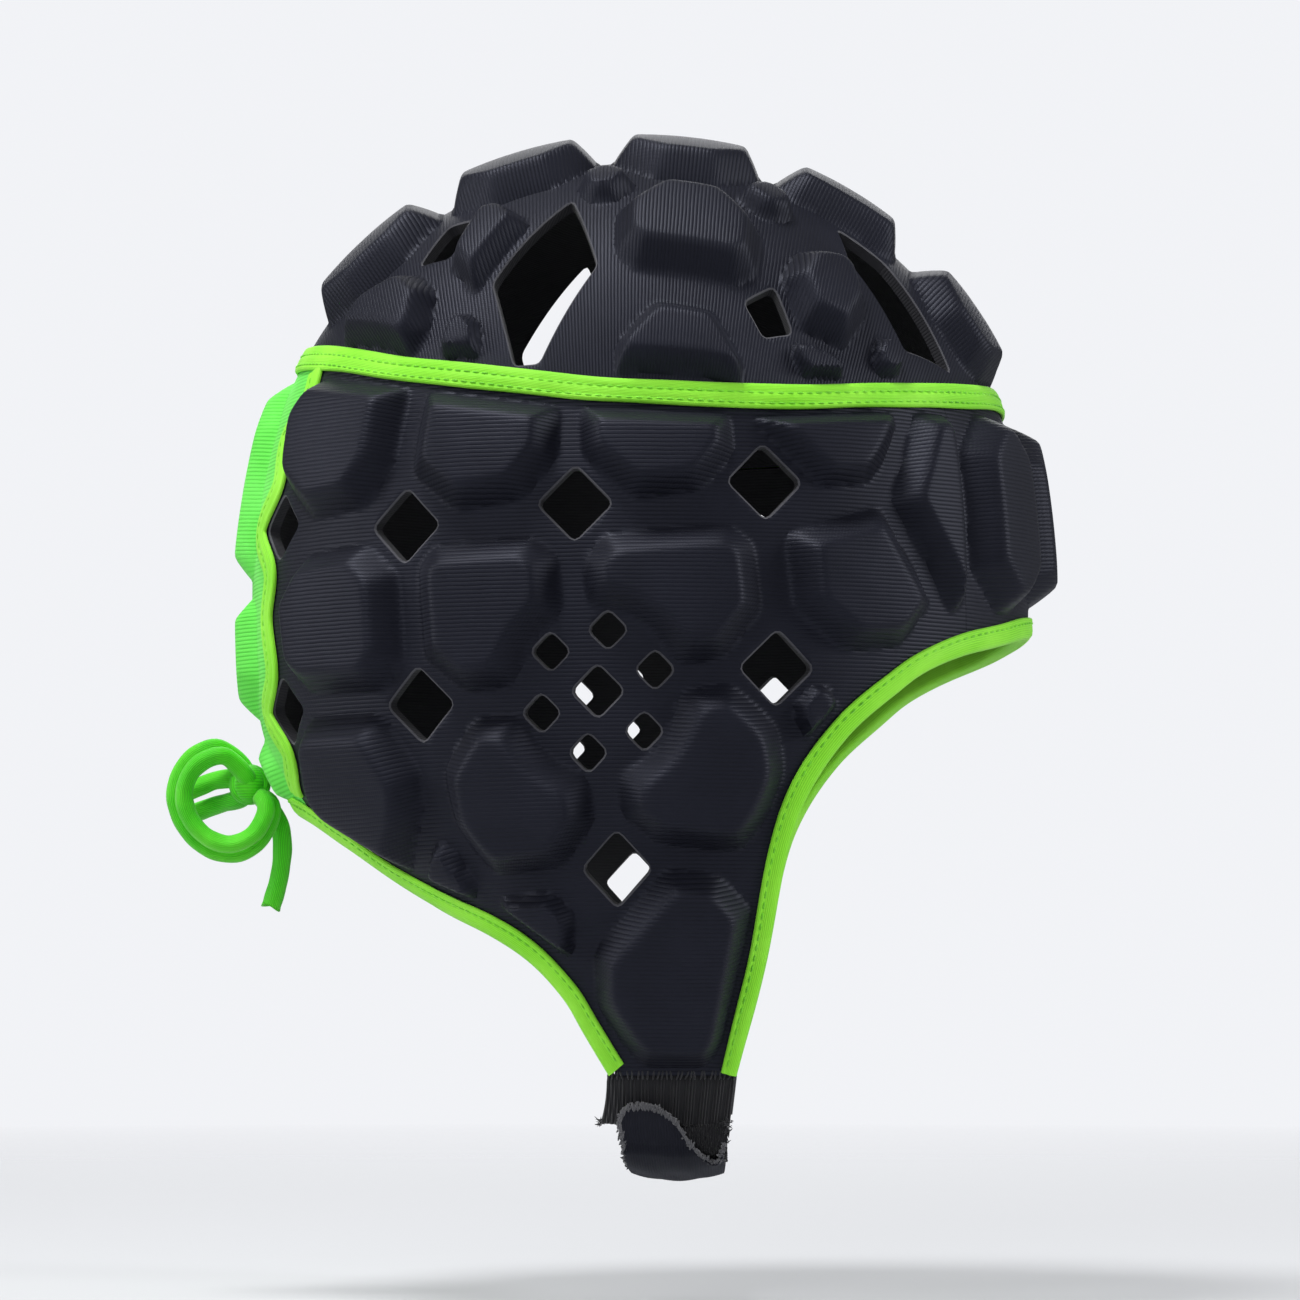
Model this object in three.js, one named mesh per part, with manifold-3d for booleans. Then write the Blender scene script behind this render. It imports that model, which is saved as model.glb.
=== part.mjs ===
// Rugby scrum cap: moulded foam pads on knitted panels, green tapes, a chin strap and a lace.
// Millimetres, +X towards the face, +Y to the wearer's left, +Z up, origin at the inner top of the crown.
import * as THREE from 'three';
import { mergeVertices } from 'three/addons/utils/BufferGeometryUtils.js';
import Module from 'manifold-3d';

const wasm = await Module();
wasm.setup();

// The inner form of the cap: an oval dome over the brow line, and flaps under it.
const HEAD_LENGTH = 205;
const HEAD_WIDTH = 158;
const DOME_HEIGHT = 112;
const FLAP_DROP = 131;
const FORM_POWER = 2.12;
const SIDE_TAPER = 0.26;
const NAPE_TAPER = 1.94;
const NAPE_POWER = 3.5;

// The panels and their pads.
const WALL = 3;
const SIDE_PAD_RISE = 7.6;
const CROWN_PAD_RISE = 8;
const BROW_PAD_RISE = 8;
const REAR_PAD_RISE = 4.6;
const VALLEY = 5.5;
const VENT_MARGIN = 2.6;
const PAD_ROOT = 1.4;
const PAD_FLATNESS = 0.6;
const SEAM_GAP = 0.45;
const WAVE_GAP = 0.6;

// Tapes, bindings and straps.
const TAPE_WIDTH = 6.3;
const TAPE_THICK = 1.1;
const BIND_WIDTH = 6;
const BIND_THICK = 0.8;
const FIT = 0.5;
const INNER_FIT = 1;
const FOLD_ROOM = 1.4;
const ELASTIC_THICK = 1.6;
const ELASTIC_DROP = 13;
const STRAP_WIDTH = 27;
const STRAP_THICK = 1.8;
const STRAP_CENTRE = 10;
const TAB_HEIGHT = 11;

// The lace.
const LACE = 5;
const LACE_SIDES = 8;
const KNOT = { long: 10, wide: 9, tall: 11 };

// The seam under the crown, as shares of the dome height: one level, a tilt and a dip at the sides.
const SEAM_LEVEL = 0.4225;
const SEAM_TILT = -0.055;
const SEAM_DIP = 0.0525;

const HALF_LENGTH = HEAD_LENGTH / 2;
const HALF_WIDTH = HEAD_WIDTH / 2;
const HALF_GIRTH = Math.PI * (HALF_LENGTH + HALF_WIDTH) / 2;
const OVAL = (HALF_LENGTH - HALF_WIDTH) / (HALF_LENGTH + HALF_WIDTH) / 2;

// Edges of the panels: round is the share of the half girth from the face to the back,
// rise the share of the dome height above the brow line or of the flap drop below it.
const FACE_EDGE = [
  { round: 0.000, rise: -0.115 },
  { round: 0.060, rise: -0.126 },
  { round: 0.112, rise: -0.146 },
  { round: 0.170, rise: -0.172 },
  { round: 0.219, rise: -0.211 },
  { round: 0.250, rise: -0.255 },
  { round: 0.297, rise: -0.342 },
  { round: 0.331, rise: -0.449 },
  { round: 0.349, rise: -0.576 },
  { round: 0.358, rise: -0.774 },
  { round: 0.376, rise: -1.000 },
];
const NECK_EDGE = [
  { round: 0.526, rise: -1.000 },
  { round: 0.554, rise: -0.914 },
  { round: 0.576, rise: -0.848 },
  { round: 0.614, rise: -0.776 },
  { round: 0.665, rise: -0.721 },
  { round: 0.741, rise: -0.663 },
  { round: 0.809, rise: -0.602 },
  { round: 0.862, rise: -0.540 },
  { round: 0.920, rise: -0.488 },
  { round: 1.000, rise: -0.465 },
];
// The wavy seam between a side panel and the rear panel.
const REAR_SEAM = [
  { round: 0.870, rise: 0.480 },
  { round: 0.862, rise: 0.400 },
  { round: 0.886, rise: 0.320 },
  { round: 0.880, rise: 0.210 },
  { round: 0.912, rise: 0.106 },
  { round: 0.884, rise: 0.005 },
  { round: 0.892, rise: -0.090 },
  { round: 0.884, rise: -0.200 },
  { round: 0.908, rise: -0.276 },
  { round: 0.882, rise: -0.357 },
  { round: 0.905, rise: -0.430 },
  { round: 0.892, rise: -0.520 },
];
const BROW_SEAM = [
  { round: 0.176, rise: 0.420 },
  { round: 0.178, rise: 0.100 },
  { round: 0.172, rise: -0.172 },
];

// Pads: where each sits, its half width and half height in shares of the pad pitch, and its turn in degrees.
// A pad that a seam cuts off has its outline's middle lifted from its place towards that seam.
const PITCH = 46;
const SIDE_PADS = [
  { round: 0.790, rise: 0.250, wide: 0.46, tall: 0.46, turn: -7, lift: 0.13 },
  { round: 0.636, rise: 0.226, wide: 0.46, tall: 0.46, turn: -7, lift: 0.18 },
  { round: 0.474, rise: 0.237, wide: 0.47, tall: 0.46, turn: -7, lift: 0.20 },
  { round: 0.321, rise: 0.262, wide: 0.46, tall: 0.46, turn: -7, lift: 0.21 },
  { round: 0.203, rise: 0.126, wide: 0.27, tall: 0.58, turn: 4 },
  { round: 0.776, rise: -0.114, wide: 0.46, tall: 0.47, turn: -7 },
  { round: 0.630, rise: -0.095, wide: 0.44, tall: 0.47, turn: -7 },
  { round: 0.464, rise: -0.062, wide: 0.48, tall: 0.46, turn: -7 },
  { round: 0.289, rise: -0.015, wide: 0.44, tall: 0.46, turn: -7 },
  { round: 0.779, rise: -0.430, wide: 0.44, tall: 0.48, turn: -30 },
  { round: 0.607, rise: -0.461, wide: 0.43, tall: 0.46, turn: -7 },
  { round: 0.436, rise: -0.414, wide: 0.48, tall: 0.47, turn: -7 },
  { round: 0.694, rise: -0.604, wide: 0.21, tall: 0.17, turn: 35 },
  { round: 0.598, rise: -0.715, wide: 0.30, tall: 0.22, turn: 38 },
  { round: 0.455, rise: -0.790, wide: 0.52, tall: 0.58, turn: -4 },
  { round: 0.328, rise: -0.322, wide: 0.15, tall: 0.34, turn: -32 },
];
const BROW_PADS = [
  { round: -0.110, rise: 0.135, wide: 0.29, tall: 0.60, turn: 0 },
  { round: 0.000, rise: 0.140, wide: 0.36, tall: 0.60, turn: 0 },
  { round: 0.110, rise: 0.135, wide: 0.29, tall: 0.60, turn: 0 },
];
const REAR_PADS = [
  { round: 1.000, rise: 0.205, wide: 0.39, tall: 0.72, turn: 0 },
  { round: 1.000, rise: -0.135, wide: 0.42, tall: 0.46, turn: 0 },
  { round: 1.000, rise: -0.390, wide: 0.42, tall: 0.22, turn: 0 },
];
// The crown's pads on one half: ahead and aside are shares of the way from the top down to the brow line.
const CROWN_PADS = [
  { ahead: -0.450, aside: 0.150, wide: 0.46, tall: 0.44, turn: 0 },
  { ahead: -0.190, aside: 0.150, wide: 0.47, tall: 0.44, turn: 0 },
  { ahead: 0.080, aside: 0.150, wide: 0.46, tall: 0.44, turn: 0 },
  { ahead: 0.335, aside: 0.140, wide: 0.42, tall: 0.44, turn: 0 },
  { ahead: 0.590, aside: 0.140, wide: 0.40, tall: 0.44, turn: 0 },
  { ahead: -0.470, aside: 0.445, wide: 0.42, tall: 0.36, turn: 24 },
  { ahead: -0.246, aside: 0.420, wide: 0.26, tall: 0.42, turn: -24 },
  { ahead: -0.324, aside: 0.605, wide: 0.15, tall: 0.22, turn: 10 },
  { ahead: 0.092, aside: 0.465, wide: 0.46, tall: 0.42, turn: 0 },
  { ahead: 0.092, aside: 0.660, wide: 0.46, tall: 0.42, turn: 0, lift: 0.26 },
  { ahead: 0.336, aside: 0.495, wide: 0.28, tall: 0.40, turn: 16 },
  { ahead: 0.356, aside: 0.618, wide: 0.24, tall: 0.14, turn: 18 },
  { ahead: 0.480, aside: 0.502, wide: 0.12, tall: 0.14, turn: 10 },
  { ahead: -0.050, aside: 0.322, wide: 0.18, tall: 0.18, turn: 0 },
  { ahead: 0.215, aside: 0.303, wide: 0.18, tall: 0.18, turn: 0 },
];

// Vents: square holes on their corners in the sides, with the half diagonal in shares of the pad pitch.
const SIDE_VENTS = [
  { round: 0.708, rise: 0.077, half: 0.21 },
  { round: 0.550, rise: 0.115, half: 0.21 },
  { round: 0.380, rise: 0.166, half: 0.21 },
  { round: 0.697, rise: -0.282, half: 0.21 },
  { round: 0.369, rise: -0.217, half: 0.21 },
  { round: 0.514, rise: -0.603, half: 0.21 },
  { round: 0.868, rise: 0.106, half: 0.19 },
  { round: 0.868, rise: -0.276, half: 0.19 },
];
// The cluster over the ear: one hole with a ring of small ones round it, in a scoop in the pads.
const EAR = { round: 0.530, rise: -0.263, half: 0.15, ring: 0.34, ringHalf: 0.112, count: 6, start: 10, scoop: 0.445 };

// The crown's vents on one half, corner by corner.
const CROWN_VENTS = [
  [
    { ahead: -0.270, aside: 0.300 },
    { ahead: -0.318, aside: 0.262 },
    { ahead: -0.378, aside: 0.345 },
    { ahead: -0.322, aside: 0.385 },
  ],
  [
    { ahead: -0.105, aside: 0.352 },
    { ahead: -0.063, aside: 0.534 },
    { ahead: -0.178, aside: 0.692 },
    { ahead: -0.227, aside: 0.680 },
    { ahead: -0.250, aside: 0.509 },
  ],
  [
    { ahead: 0.250, aside: 0.520 },
    { ahead: 0.200, aside: 0.575 },
    { ahead: 0.244, aside: 0.625 },
    { ahead: 0.296, aside: 0.592 },
  ],
  [
    { ahead: 0.342, aside: 0.245 },
    { ahead: 0.374, aside: 0.343 },
    { ahead: 0.512, aside: 0.437 },
    { ahead: 0.612, aside: 0.340 },
    { ahead: 0.434, aside: 0.238 },
  ],
];

// The lace's routes, as they hang: x to the face, y to the left, z up.
const LACE_LOOP_NEAR = [
  [-107.8, -0.7, -163.2], [-112.4, -4.5, -158.8], [-117.6, -5.5, -159.8], [-121.8, -5.5, -163.6],
  [-123.5, -5.2, -169.6], [-121.4, -5.0, -176.2], [-116.6, -4.8, -181.0], [-110.6, -4.6, -182.6],
  [-104.6, -4.2, -179.8], [-101.6, -3.8, -174.6], [-101.6, -3.4, -171.4],
];
const LACE_LOOP_FAR = [
  [-109.4, 5.2, -160.4], [-115.0, 2.5, -156.2], [-120.4, 1.5, -157.6], [-124.6, 1.0, -161.8],
  [-126.6, 0.8, -168.2], [-125.2, 0.8, -175.0], [-121.4, 0.8, -180.4], [-115.4, 1.0, -184.4],
  [-108.8, 1.2, -184.6], [-103.2, 1.4, -180.6], [-100.6, 1.8, -174.8], [-100.8, 2.0, -171.6],
];
const LACE_TAIL_UPPER = [
  [-111.1, 7.1, -164.2], [-116.6, 9.0, -164.6], [-121.0, 9.6, -166.2], [-126.0, 10.0, -168.2],
];
const LACE_TAIL_LOWER = [
  [-109.6, 7.9, -169.6], [-115.4, 12.5, -170.8], [-119.6, 14.5, -172.0], [-125.0, 15.5, -174.0], [-128.6, 16.0, -175.6],
];
const LACE_TAIL_LOW = [
  [-103.5, 7.3, -169.8], [-99.6, 9.0, -175.4], [-98.4, 9.2, -180.4], [-98.4, 9.4, -186.0],
  [-99.4, 9.6, -192.4], [-101.4, 9.8, -199.4],
];
const KNOT_AT = [-106.8, 4.5, -166];

const material = (color, roughness) => new THREE.MeshStandardMaterial({ color, roughness, metalness: 0 });
const KNIT = material('#16171f', 0.85);
const GREEN = material('#74f23c', 0.75);
const ELASTIC = material('#15151a', 0.9);
const FLEECE = material('#2a2a30', 0.95);
const LACE_GREEN = material('#5fe02c', 0.7);

const group = new THREE.Group();
group.name = 'scrum_cap';

const heightOf = (rise) => -DOME_HEIGHT + rise * (rise >= 0 ? DOME_HEIGHT : FLAP_DROP);
const flat = (row) => new THREE.Vector2(row.round * HALF_GIRTH, heightOf(row.rise));

// A point of the inner form from the way round it and the height.
function sidePoint(s, z) {
  const turn = Math.PI * s / HALF_GIRTH;
  const angle = turn + OVAL * Math.sin(2 * turn);
  const behind = Math.max(-Math.cos(angle), 0) ** 2;
  const rise = Math.min((z + DOME_HEIGHT) / DOME_HEIGHT, 0.995);
  const drop = Math.max(-z - DOME_HEIGHT, 0) / FLAP_DROP;
  const reach = rise > 0
    ? (1 - rise ** FORM_POWER) ** (1 / FORM_POWER)
    : 1 - SIDE_TAPER * drop ** 2 * (1 - behind) - NAPE_TAPER * drop ** NAPE_POWER * behind;
  return new THREE.Vector3(HALF_LENGTH * reach * Math.cos(angle), -HALF_WIDTH * reach * Math.sin(angle), z);
}

// The length of the form's curve from the top down to the brow line, towards one side.
function quarterArc(halfAxis) {
  const steps = 60;
  let length = 0;
  let last = new THREE.Vector2(0, DOME_HEIGHT);
  for (let i = 1; i <= steps; i += 1) {
    const tilt = i / steps * Math.PI / 2;
    const size = domeSize(tilt);
    const next = new THREE.Vector2(halfAxis * size * Math.sin(tilt), DOME_HEIGHT * size * Math.cos(tilt));
    length += next.distanceTo(last);
    last = next;
  }
  return length;
}

function domeSize(tilt) {
  return (Math.abs(Math.sin(tilt)) ** FORM_POWER + Math.abs(Math.cos(tilt)) ** FORM_POWER) ** (-1 / FORM_POWER);
}

const ARC_AHEAD = quarterArc(HALF_LENGTH);
const ARC_ASIDE = quarterArc(HALF_WIDTH);

// A point of the dome from the ways ahead and aside of its top.
function crownPoint(x, y) {
  const ahead = x / ARC_AHEAD;
  const aside = y / ARC_ASIDE;
  const tilt = Math.hypot(ahead, aside) * Math.PI / 2;
  const angle = Math.atan2(aside, ahead);
  const size = domeSize(tilt);
  return new THREE.Vector3(
    HALF_LENGTH * size * Math.sin(tilt) * Math.cos(angle),
    -HALF_WIDTH * size * Math.sin(tilt) * Math.sin(angle),
    DOME_HEIGHT * (size * Math.cos(tilt) - 1),
  );
}

// Each form lays a flat pattern on the head. Its hand is -1 where it is mirrored to the wearer's left.
const SIDE = { at: sidePoint, hand: 1 };
const SIDE_LEFT = { at: (s, z) => sidePoint(s, z).multiply(new THREE.Vector3(1, -1, 1)), hand: -1 };
const CROWN = { at: crownPoint, hand: 1 };

// The form's frame at a place of the pattern: the point, the ways along it per millimetre and the way out.
function frameAt(form, a, b) {
  const step = 0.05;
  const alongA = form.at(a + step, b).sub(form.at(a - step, b)).divideScalar(2 * step);
  const alongB = form.at(a, b + step).sub(form.at(a, b - step)).divideScalar(2 * step);
  const out = new THREE.Vector3().crossVectors(alongB, alongA).normalize().multiplyScalar(form.hand);
  return { point: form.at(a, b), alongA, alongB, out };
}

function raised(form, a, b, height) {
  const { point, out } = frameAt(form, a, b);
  return point.addScaledVector(out, height);
}

// Moves every vertex of a closed geometry by a rule and makes it a solid with its faces outwards.
function solidFrom(geometry, place) {
  geometry.deleteAttribute('normal');
  geometry.deleteAttribute('uv');
  const merged = mergeVertices(geometry, 1e-5);
  const position = merged.getAttribute('position');
  const points = [];
  for (let i = 0; i < position.count; i += 1) {
    points.push(place(position.getX(i), position.getY(i), position.getZ(i)));
  }
  const triangles = [];
  let volume = 0;
  for (let i = 0; i < merged.index.count; i += 3) {
    const [a, b, c] = [merged.index.getX(i), merged.index.getX(i + 1), merged.index.getX(i + 2)];
    if (a === b || b === c || c === a) continue;
    triangles.push([a, b, c]);
    volume += points[a].dot(new THREE.Vector3().crossVectors(points[b], points[c]));
  }
  const faces = volume < 0 ? triangles.map(([a, b, c]) => [a, c, b]) : triangles;
  return new wasm.Manifold(new wasm.Mesh({
    numProp: 3,
    vertProperties: Float32Array.from(points.flatMap((p) => [p.x, p.y, p.z])),
    triVerts: Uint32Array.from(faces.flat()),
  }));
}

function add(name, solid, look) {
  const { vertProperties, triVerts, numProp } = solid.getMesh();
  const positions = [];
  for (let i = 0; i < vertProperties.length; i += numProp) {
    positions.push(vertProperties[i], vertProperties[i + 1], vertProperties[i + 2]);
  }
  const geometry = new THREE.BufferGeometry();
  geometry.setAttribute('position', new THREE.Float32BufferAttribute(positions, 3));
  geometry.setIndex(Array.from(triVerts));
  geometry.computeVertexNormals();
  const mesh = new THREE.Mesh(geometry, look);
  mesh.name = name;
  group.add(mesh);
}

// Seam heights and edge curves.
function seamHeight(s) {
  const turn = Math.PI * s / HALF_GIRTH;
  const angle = turn + OVAL * Math.sin(2 * turn);
  const share = SEAM_LEVEL + SEAM_TILT * Math.cos(angle) + SEAM_DIP * Math.cos(2 * angle);
  return heightOf(share);
}

// A table's smooth line, moved sideways by a distance. Positive moves to the left of its run.
function edgeLine(rows, shift, pieces = 60) {
  const curve = new THREE.SplineCurve(rows.map(flat));
  const points = [];
  for (let i = 0; i <= pieces; i += 1) {
    const point = curve.getPointAt(i / pieces);
    const tangent = curve.getTangentAt(i / pieces);
    points.push(new THREE.Vector2(point.x - tangent.y * shift, point.y + tangent.x * shift));
  }
  return points;
}

// The way round at a height, or the height at a way round, on a line of points.
function readLine(points, axis, value) {
  const other = axis === 'x' ? 'y' : 'x';
  let best = points[0][other];
  let distance = Math.abs(points[0][axis] - value);
  for (let i = 1; i < points.length; i += 1) {
    const [p, q] = [points[i - 1], points[i]];
    const share = THREE.MathUtils.clamp((value - p[axis]) / (q[axis] - p[axis] || 1e-9), 0, 1);
    const off = Math.abs(THREE.MathUtils.lerp(p[axis], q[axis], share) - value);
    if (off < distance - 1e-9) {
      distance = off;
      best = THREE.MathUtils.lerp(p[other], q[other], share);
    }
  }
  return best;
}

const EDGE_CUT = BIND_THICK + FOLD_ROOM;
const faceCut = edgeLine(FACE_EDGE, EDGE_CUT);
const neckCut = edgeLine(NECK_EDGE, EDGE_CUT);
const rearCut = edgeLine(REAR_SEAM, 0);
const browCut = edgeLine(BROW_SEAM, 0);
const FLAP_END = heightOf(-1);
const FACE_CORNER = readLine(faceCut, 'x', flat(BROW_SEAM[BROW_SEAM.length - 1]).x);
const NECK_CORNER = readLine(neckCut, 'x', flat(REAR_SEAM[REAR_SEAM.length - 1]).x);

// Columns lie closer together near a panel's edges than in its middle.
const spread = (share) => share + 0.045 * Math.sin(2 * Math.PI * share) * -1;

// A panel's plate: a box whose corners follow the panel's four edges.
function plate(form, edges, columns, levels) {
  const box = new THREE.BoxGeometry(1, 1, 1, columns, levels.length - 1, 1);
  return solidFrom(box, (x, y, z) => {
    const across = spread(x + 0.5);
    const row = (y + 0.5) * (levels.length - 1);
    const low = Math.min(Math.floor(row + 1e-6), levels.length - 2);
    const up = THREE.MathUtils.lerp(levels[low], levels[low + 1], row - low);
    let s = edges.middle;
    let height = edges.level;
    for (let pass = 0; pass < 6; pass += 1) {
      height = THREE.MathUtils.lerp(edges.bottom(s), edges.top(s), up);
      s = THREE.MathUtils.lerp(edges.front(height), edges.rear(height), across);
    }
    return raised(form, s, height, z > 0 ? WALL : 0);
  });
}

// What limits a pad, as straight walls round its centre: its own eight sides, its neighbours, vents and edges.
function padWalls(pad, pads, vents, lines) {
  const walls = [];
  const tilt = pad.turn * Math.PI / 180;
  const wall = (x, y, distance) => walls.push({ x, y, distance });
  for (let k = 0; k < 8; k += 1) {
    const angle = k * Math.PI / 4 + tilt;
    const sizes = [pad.wide, (pad.wide + pad.tall) / 2, pad.tall, (pad.wide + pad.tall) / 2];
    wall(Math.cos(angle), Math.sin(angle), sizes[k % 4] + Math.sin(angle) * pad.lift);
  }
  for (const other of pads) {
    if (other === pad) continue;
    const to = other.at.clone().sub(pad.at);
    const distance = to.length();
    to.normalize();
    const mine = reachOf(pad, to);
    const theirs = reachOf(other, to);
    wall(to.x, to.y, distance * mine / (mine + theirs) - VALLEY / 2);
  }
  for (const corners of vents) {
    const face = nearestFace(corners, pad.at);
    if (face.distance > 0) wall(-face.x, -face.y, face.distance - VENT_MARGIN);
  }
  for (const line of lines) {
    const near = nearestOn(line.points, pad.at);
    wall(near.x, near.y, near.distance - line.margin);
  }
  return walls;
}

function reachOf(pad, way) {
  const tilt = pad.turn * Math.PI / 180;
  const x = way.x * Math.cos(tilt) + way.y * Math.sin(tilt);
  const y = -way.x * Math.sin(tilt) + way.y * Math.cos(tilt);
  return 1 / Math.hypot(x / pad.wide, y / pad.tall);
}

// The side of a vent that faces a place most, with the way out of it.
function nearestFace(corners, at) {
  const centre = corners.reduce((sum, c) => sum.add(c), new THREE.Vector2()).divideScalar(corners.length);
  let best = { distance: -Infinity, x: 0, y: 0 };
  for (let i = 0; i < corners.length; i += 1) {
    const [p, q] = [corners[i], corners[(i + 1) % corners.length]];
    const out = new THREE.Vector2(q.y - p.y, p.x - q.x).normalize();
    if (out.dot(p.clone().sub(centre)) < 0) out.negate();
    const distance = out.dot(at.clone().sub(p));
    if (distance > best.distance) best = { distance, x: out.x, y: out.y };
  }
  return best;
}

function nearestOn(points, at) {
  let best = { distance: Infinity, x: 1, y: 0 };
  for (let i = 1; i < points.length; i += 1) {
    const [p, q] = [points[i - 1], points[i]];
    const run = q.clone().sub(p);
    const share = THREE.MathUtils.clamp(at.clone().sub(p).dot(run) / run.lengthSq(), 0, 1);
    const to = p.clone().addScaledVector(run, share).sub(at);
    if (to.length() < best.distance) best = { distance: to.length(), x: to.x / to.length(), y: to.y / to.length() };
  }
  return best;
}

// How far a pad reaches one way, with its corners rounded and the ear's scoop taken out.
function padReach(pad, walls, way, scoop) {
  const sharp = 16;
  let sum = 0;
  for (const { x, y, distance } of walls) {
    const towards = (x * way.x + y * way.y) / Math.max(distance, 0.5);
    if (towards > 0) sum += towards ** sharp;
  }
  const reach = sum ** (-1 / sharp);
  if (!scoop) return reach;
  const to = scoop.at.clone().sub(pad.at);
  const ahead = to.dot(way);
  const inside = scoop.radius ** 2 - to.lengthSq() + ahead ** 2;
  return ahead > 0 && inside > 0 ? Math.min(reach, ahead - Math.sqrt(inside)) : reach;
}

// A pad: a turned profile, foot, shoulder and nearly flat top, drawn out to the pad's outline.
function padSolid(form, pad, walls, rise, scoop) {
  const big = pad.wide + pad.tall > PITCH * 0.5;
  const nearScoop = scoop && pad.at.distanceTo(scoop.at) < scoop.radius + pad.wide;
  const sides = nearScoop ? 11 : big ? 8 : 6;
  const start = Math.PI / 2 - Math.PI / sides - pad.turn * Math.PI / 180;
  const profile = [
    new THREE.Vector2(0, -PAD_ROOT),
    new THREE.Vector2(1, -PAD_ROOT),
    new THREE.Vector2(0.83, rise * 0.86),
    new THREE.Vector2(0, rise),
  ];
  const centre = frameAt(form, pad.at.x, pad.at.y);
  return solidFrom(new THREE.LatheGeometry(profile, sides, start), (x, y, z) => {
    const share = Math.hypot(x, z);
    const way = share > 1e-9 ? new THREE.Vector2(x / share, z / share) : new THREE.Vector2(1, 0);
    const reach = share * padReach(pad, walls, way, nearScoop ? scoop : null);
    const a = way.x * reach;
    const b = way.y * reach;
    const followed = raised(form, pad.at.x + a, pad.at.y + b, WALL + y);
    const level = centre.point.clone()
      .addScaledVector(centre.alongA, a)
      .addScaledVector(centre.alongB, b)
      .addScaledVector(centre.out, WALL + y);
    return followed.lerp(level, y > 0 ? PAD_FLATNESS * share * 0.5 + PAD_FLATNESS * 0.5 * (y / rise) : 0);
  });
}

// A hole through a panel, from its corners on the flat pattern.
function ventSolid(form, corners) {
  const depth = 4;
  const cut = new THREE.ExtrudeGeometry(new THREE.Shape(corners), { depth: 1, steps: 1, bevelEnabled: false });
  return solidFrom(cut, (x, y, z) => raised(form, x, y, z > 0.5 ? WALL + depth : -depth));
}

const diamond = (at, half) => [
  new THREE.Vector2(at.x + half, at.y),
  new THREE.Vector2(at.x, at.y + half),
  new THREE.Vector2(at.x - half, at.y),
  new THREE.Vector2(at.x, at.y - half),
];

const sized = (row, at) => ({
  at,
  wide: row.wide * PITCH,
  tall: row.tall * PITCH,
  lift: (row.lift ?? 0) * PITCH,
  turn: row.turn,
});

function padded(base, form, pads, vents, lines, rise, scoop) {
  let solid = base;
  for (const pad of pads) {
    solid = solid.add(padSolid(form, pad, padWalls(pad, pads, vents, lines), rise, scoop));
  }
  for (const corners of vents) {
    solid = solid.subtract(ventSolid(form, corners));
  }
  return solid;
}

// The seam under the crown as a line on the side pattern, for the pads below it.
function seamLine(from, to) {
  const points = [];
  const pieces = 40;
  for (let i = 0; i <= pieces; i += 1) {
    const s = THREE.MathUtils.lerp(from, to, i / pieces);
    points.push(new THREE.Vector2(s, seamHeight(s)));
  }
  return points;
}

// The side panel's rows from the flap's end up, at the rises where its edges bend.
const TOP_ROW = 0.44;
const SIDE_ROWS = [-1, -0.9, -0.83, -0.774, -0.72, -0.66, -0.6, -0.54, -0.47, -0.4, -0.342, -0.29,
  -0.25, -0.215, -0.185, (FACE_CORNER + DOME_HEIGHT) / FLAP_DROP, -0.07, 0.02, 0.106, 0.21, 0.32, TOP_ROW];
const levelOf = (rise) => (heightOf(rise) - FLAP_END) / (heightOf(TOP_ROW) - FLAP_END);

const TAPE_MARGIN = TAPE_WIDTH / 2 + 1.4;
const BIND_MARGIN = BIND_WIDTH + 2;

function sidePanel(form) {
  const edges = {
    middle: HALF_GIRTH / 2,
    level: -DOME_HEIGHT,
    bottom: () => FLAP_END,
    top: (s) => seamHeight(s) - SEAM_GAP / 2,
    front: (z) => (z > FACE_CORNER ? readLine(browCut, 'y', z) + SEAM_GAP / 2 : readLine(faceCut, 'y', z)),
    rear: (z) => (z > NECK_CORNER ? readLine(rearCut, 'y', z) - WAVE_GAP / 2 : readLine(neckCut, 'y', z)),
  };
  const base = plate(form, edges, 8, SIDE_ROWS.map(levelOf));
  const pads = SIDE_PADS.map((row) => sized(row, flat(row)));
  const ear = flat(EAR);
  const vents = SIDE_VENTS.map((row) => diamond(flat(row), row.half * PITCH));
  const scoop = { at: ear, radius: EAR.scoop * PITCH };
  const lines = [
    { points: seamLine(0, HALF_GIRTH), margin: TAPE_MARGIN },
    { points: rearCut, margin: TAPE_MARGIN },
    { points: browCut, margin: VALLEY / 2 },
    { points: edgeLine(FACE_EDGE, 0), margin: BIND_MARGIN },
    { points: edgeLine(NECK_EDGE, 0), margin: BIND_MARGIN },
    { points: [new THREE.Vector2(0, FLAP_END), new THREE.Vector2(HALF_GIRTH, FLAP_END)], margin: 2 },
  ];
  const panel = padded(base, form, pads, vents, lines, SIDE_PAD_RISE, scoop);
  const ring = [diamond(ear, EAR.half * PITCH)];
  for (let k = 0; k < EAR.count; k += 1) {
    const turn = (90 + EAR.start + k * 360 / EAR.count) * Math.PI / 180;
    const at = new THREE.Vector2(Math.cos(turn), Math.sin(turn)).multiplyScalar(EAR.ring * PITCH).add(ear);
    ring.push(diamond(at, EAR.ringHalf * PITCH));
  }
  return ring.reduce((solid, corners) => solid.subtract(ventSolid(form, corners)), panel);
}

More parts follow.
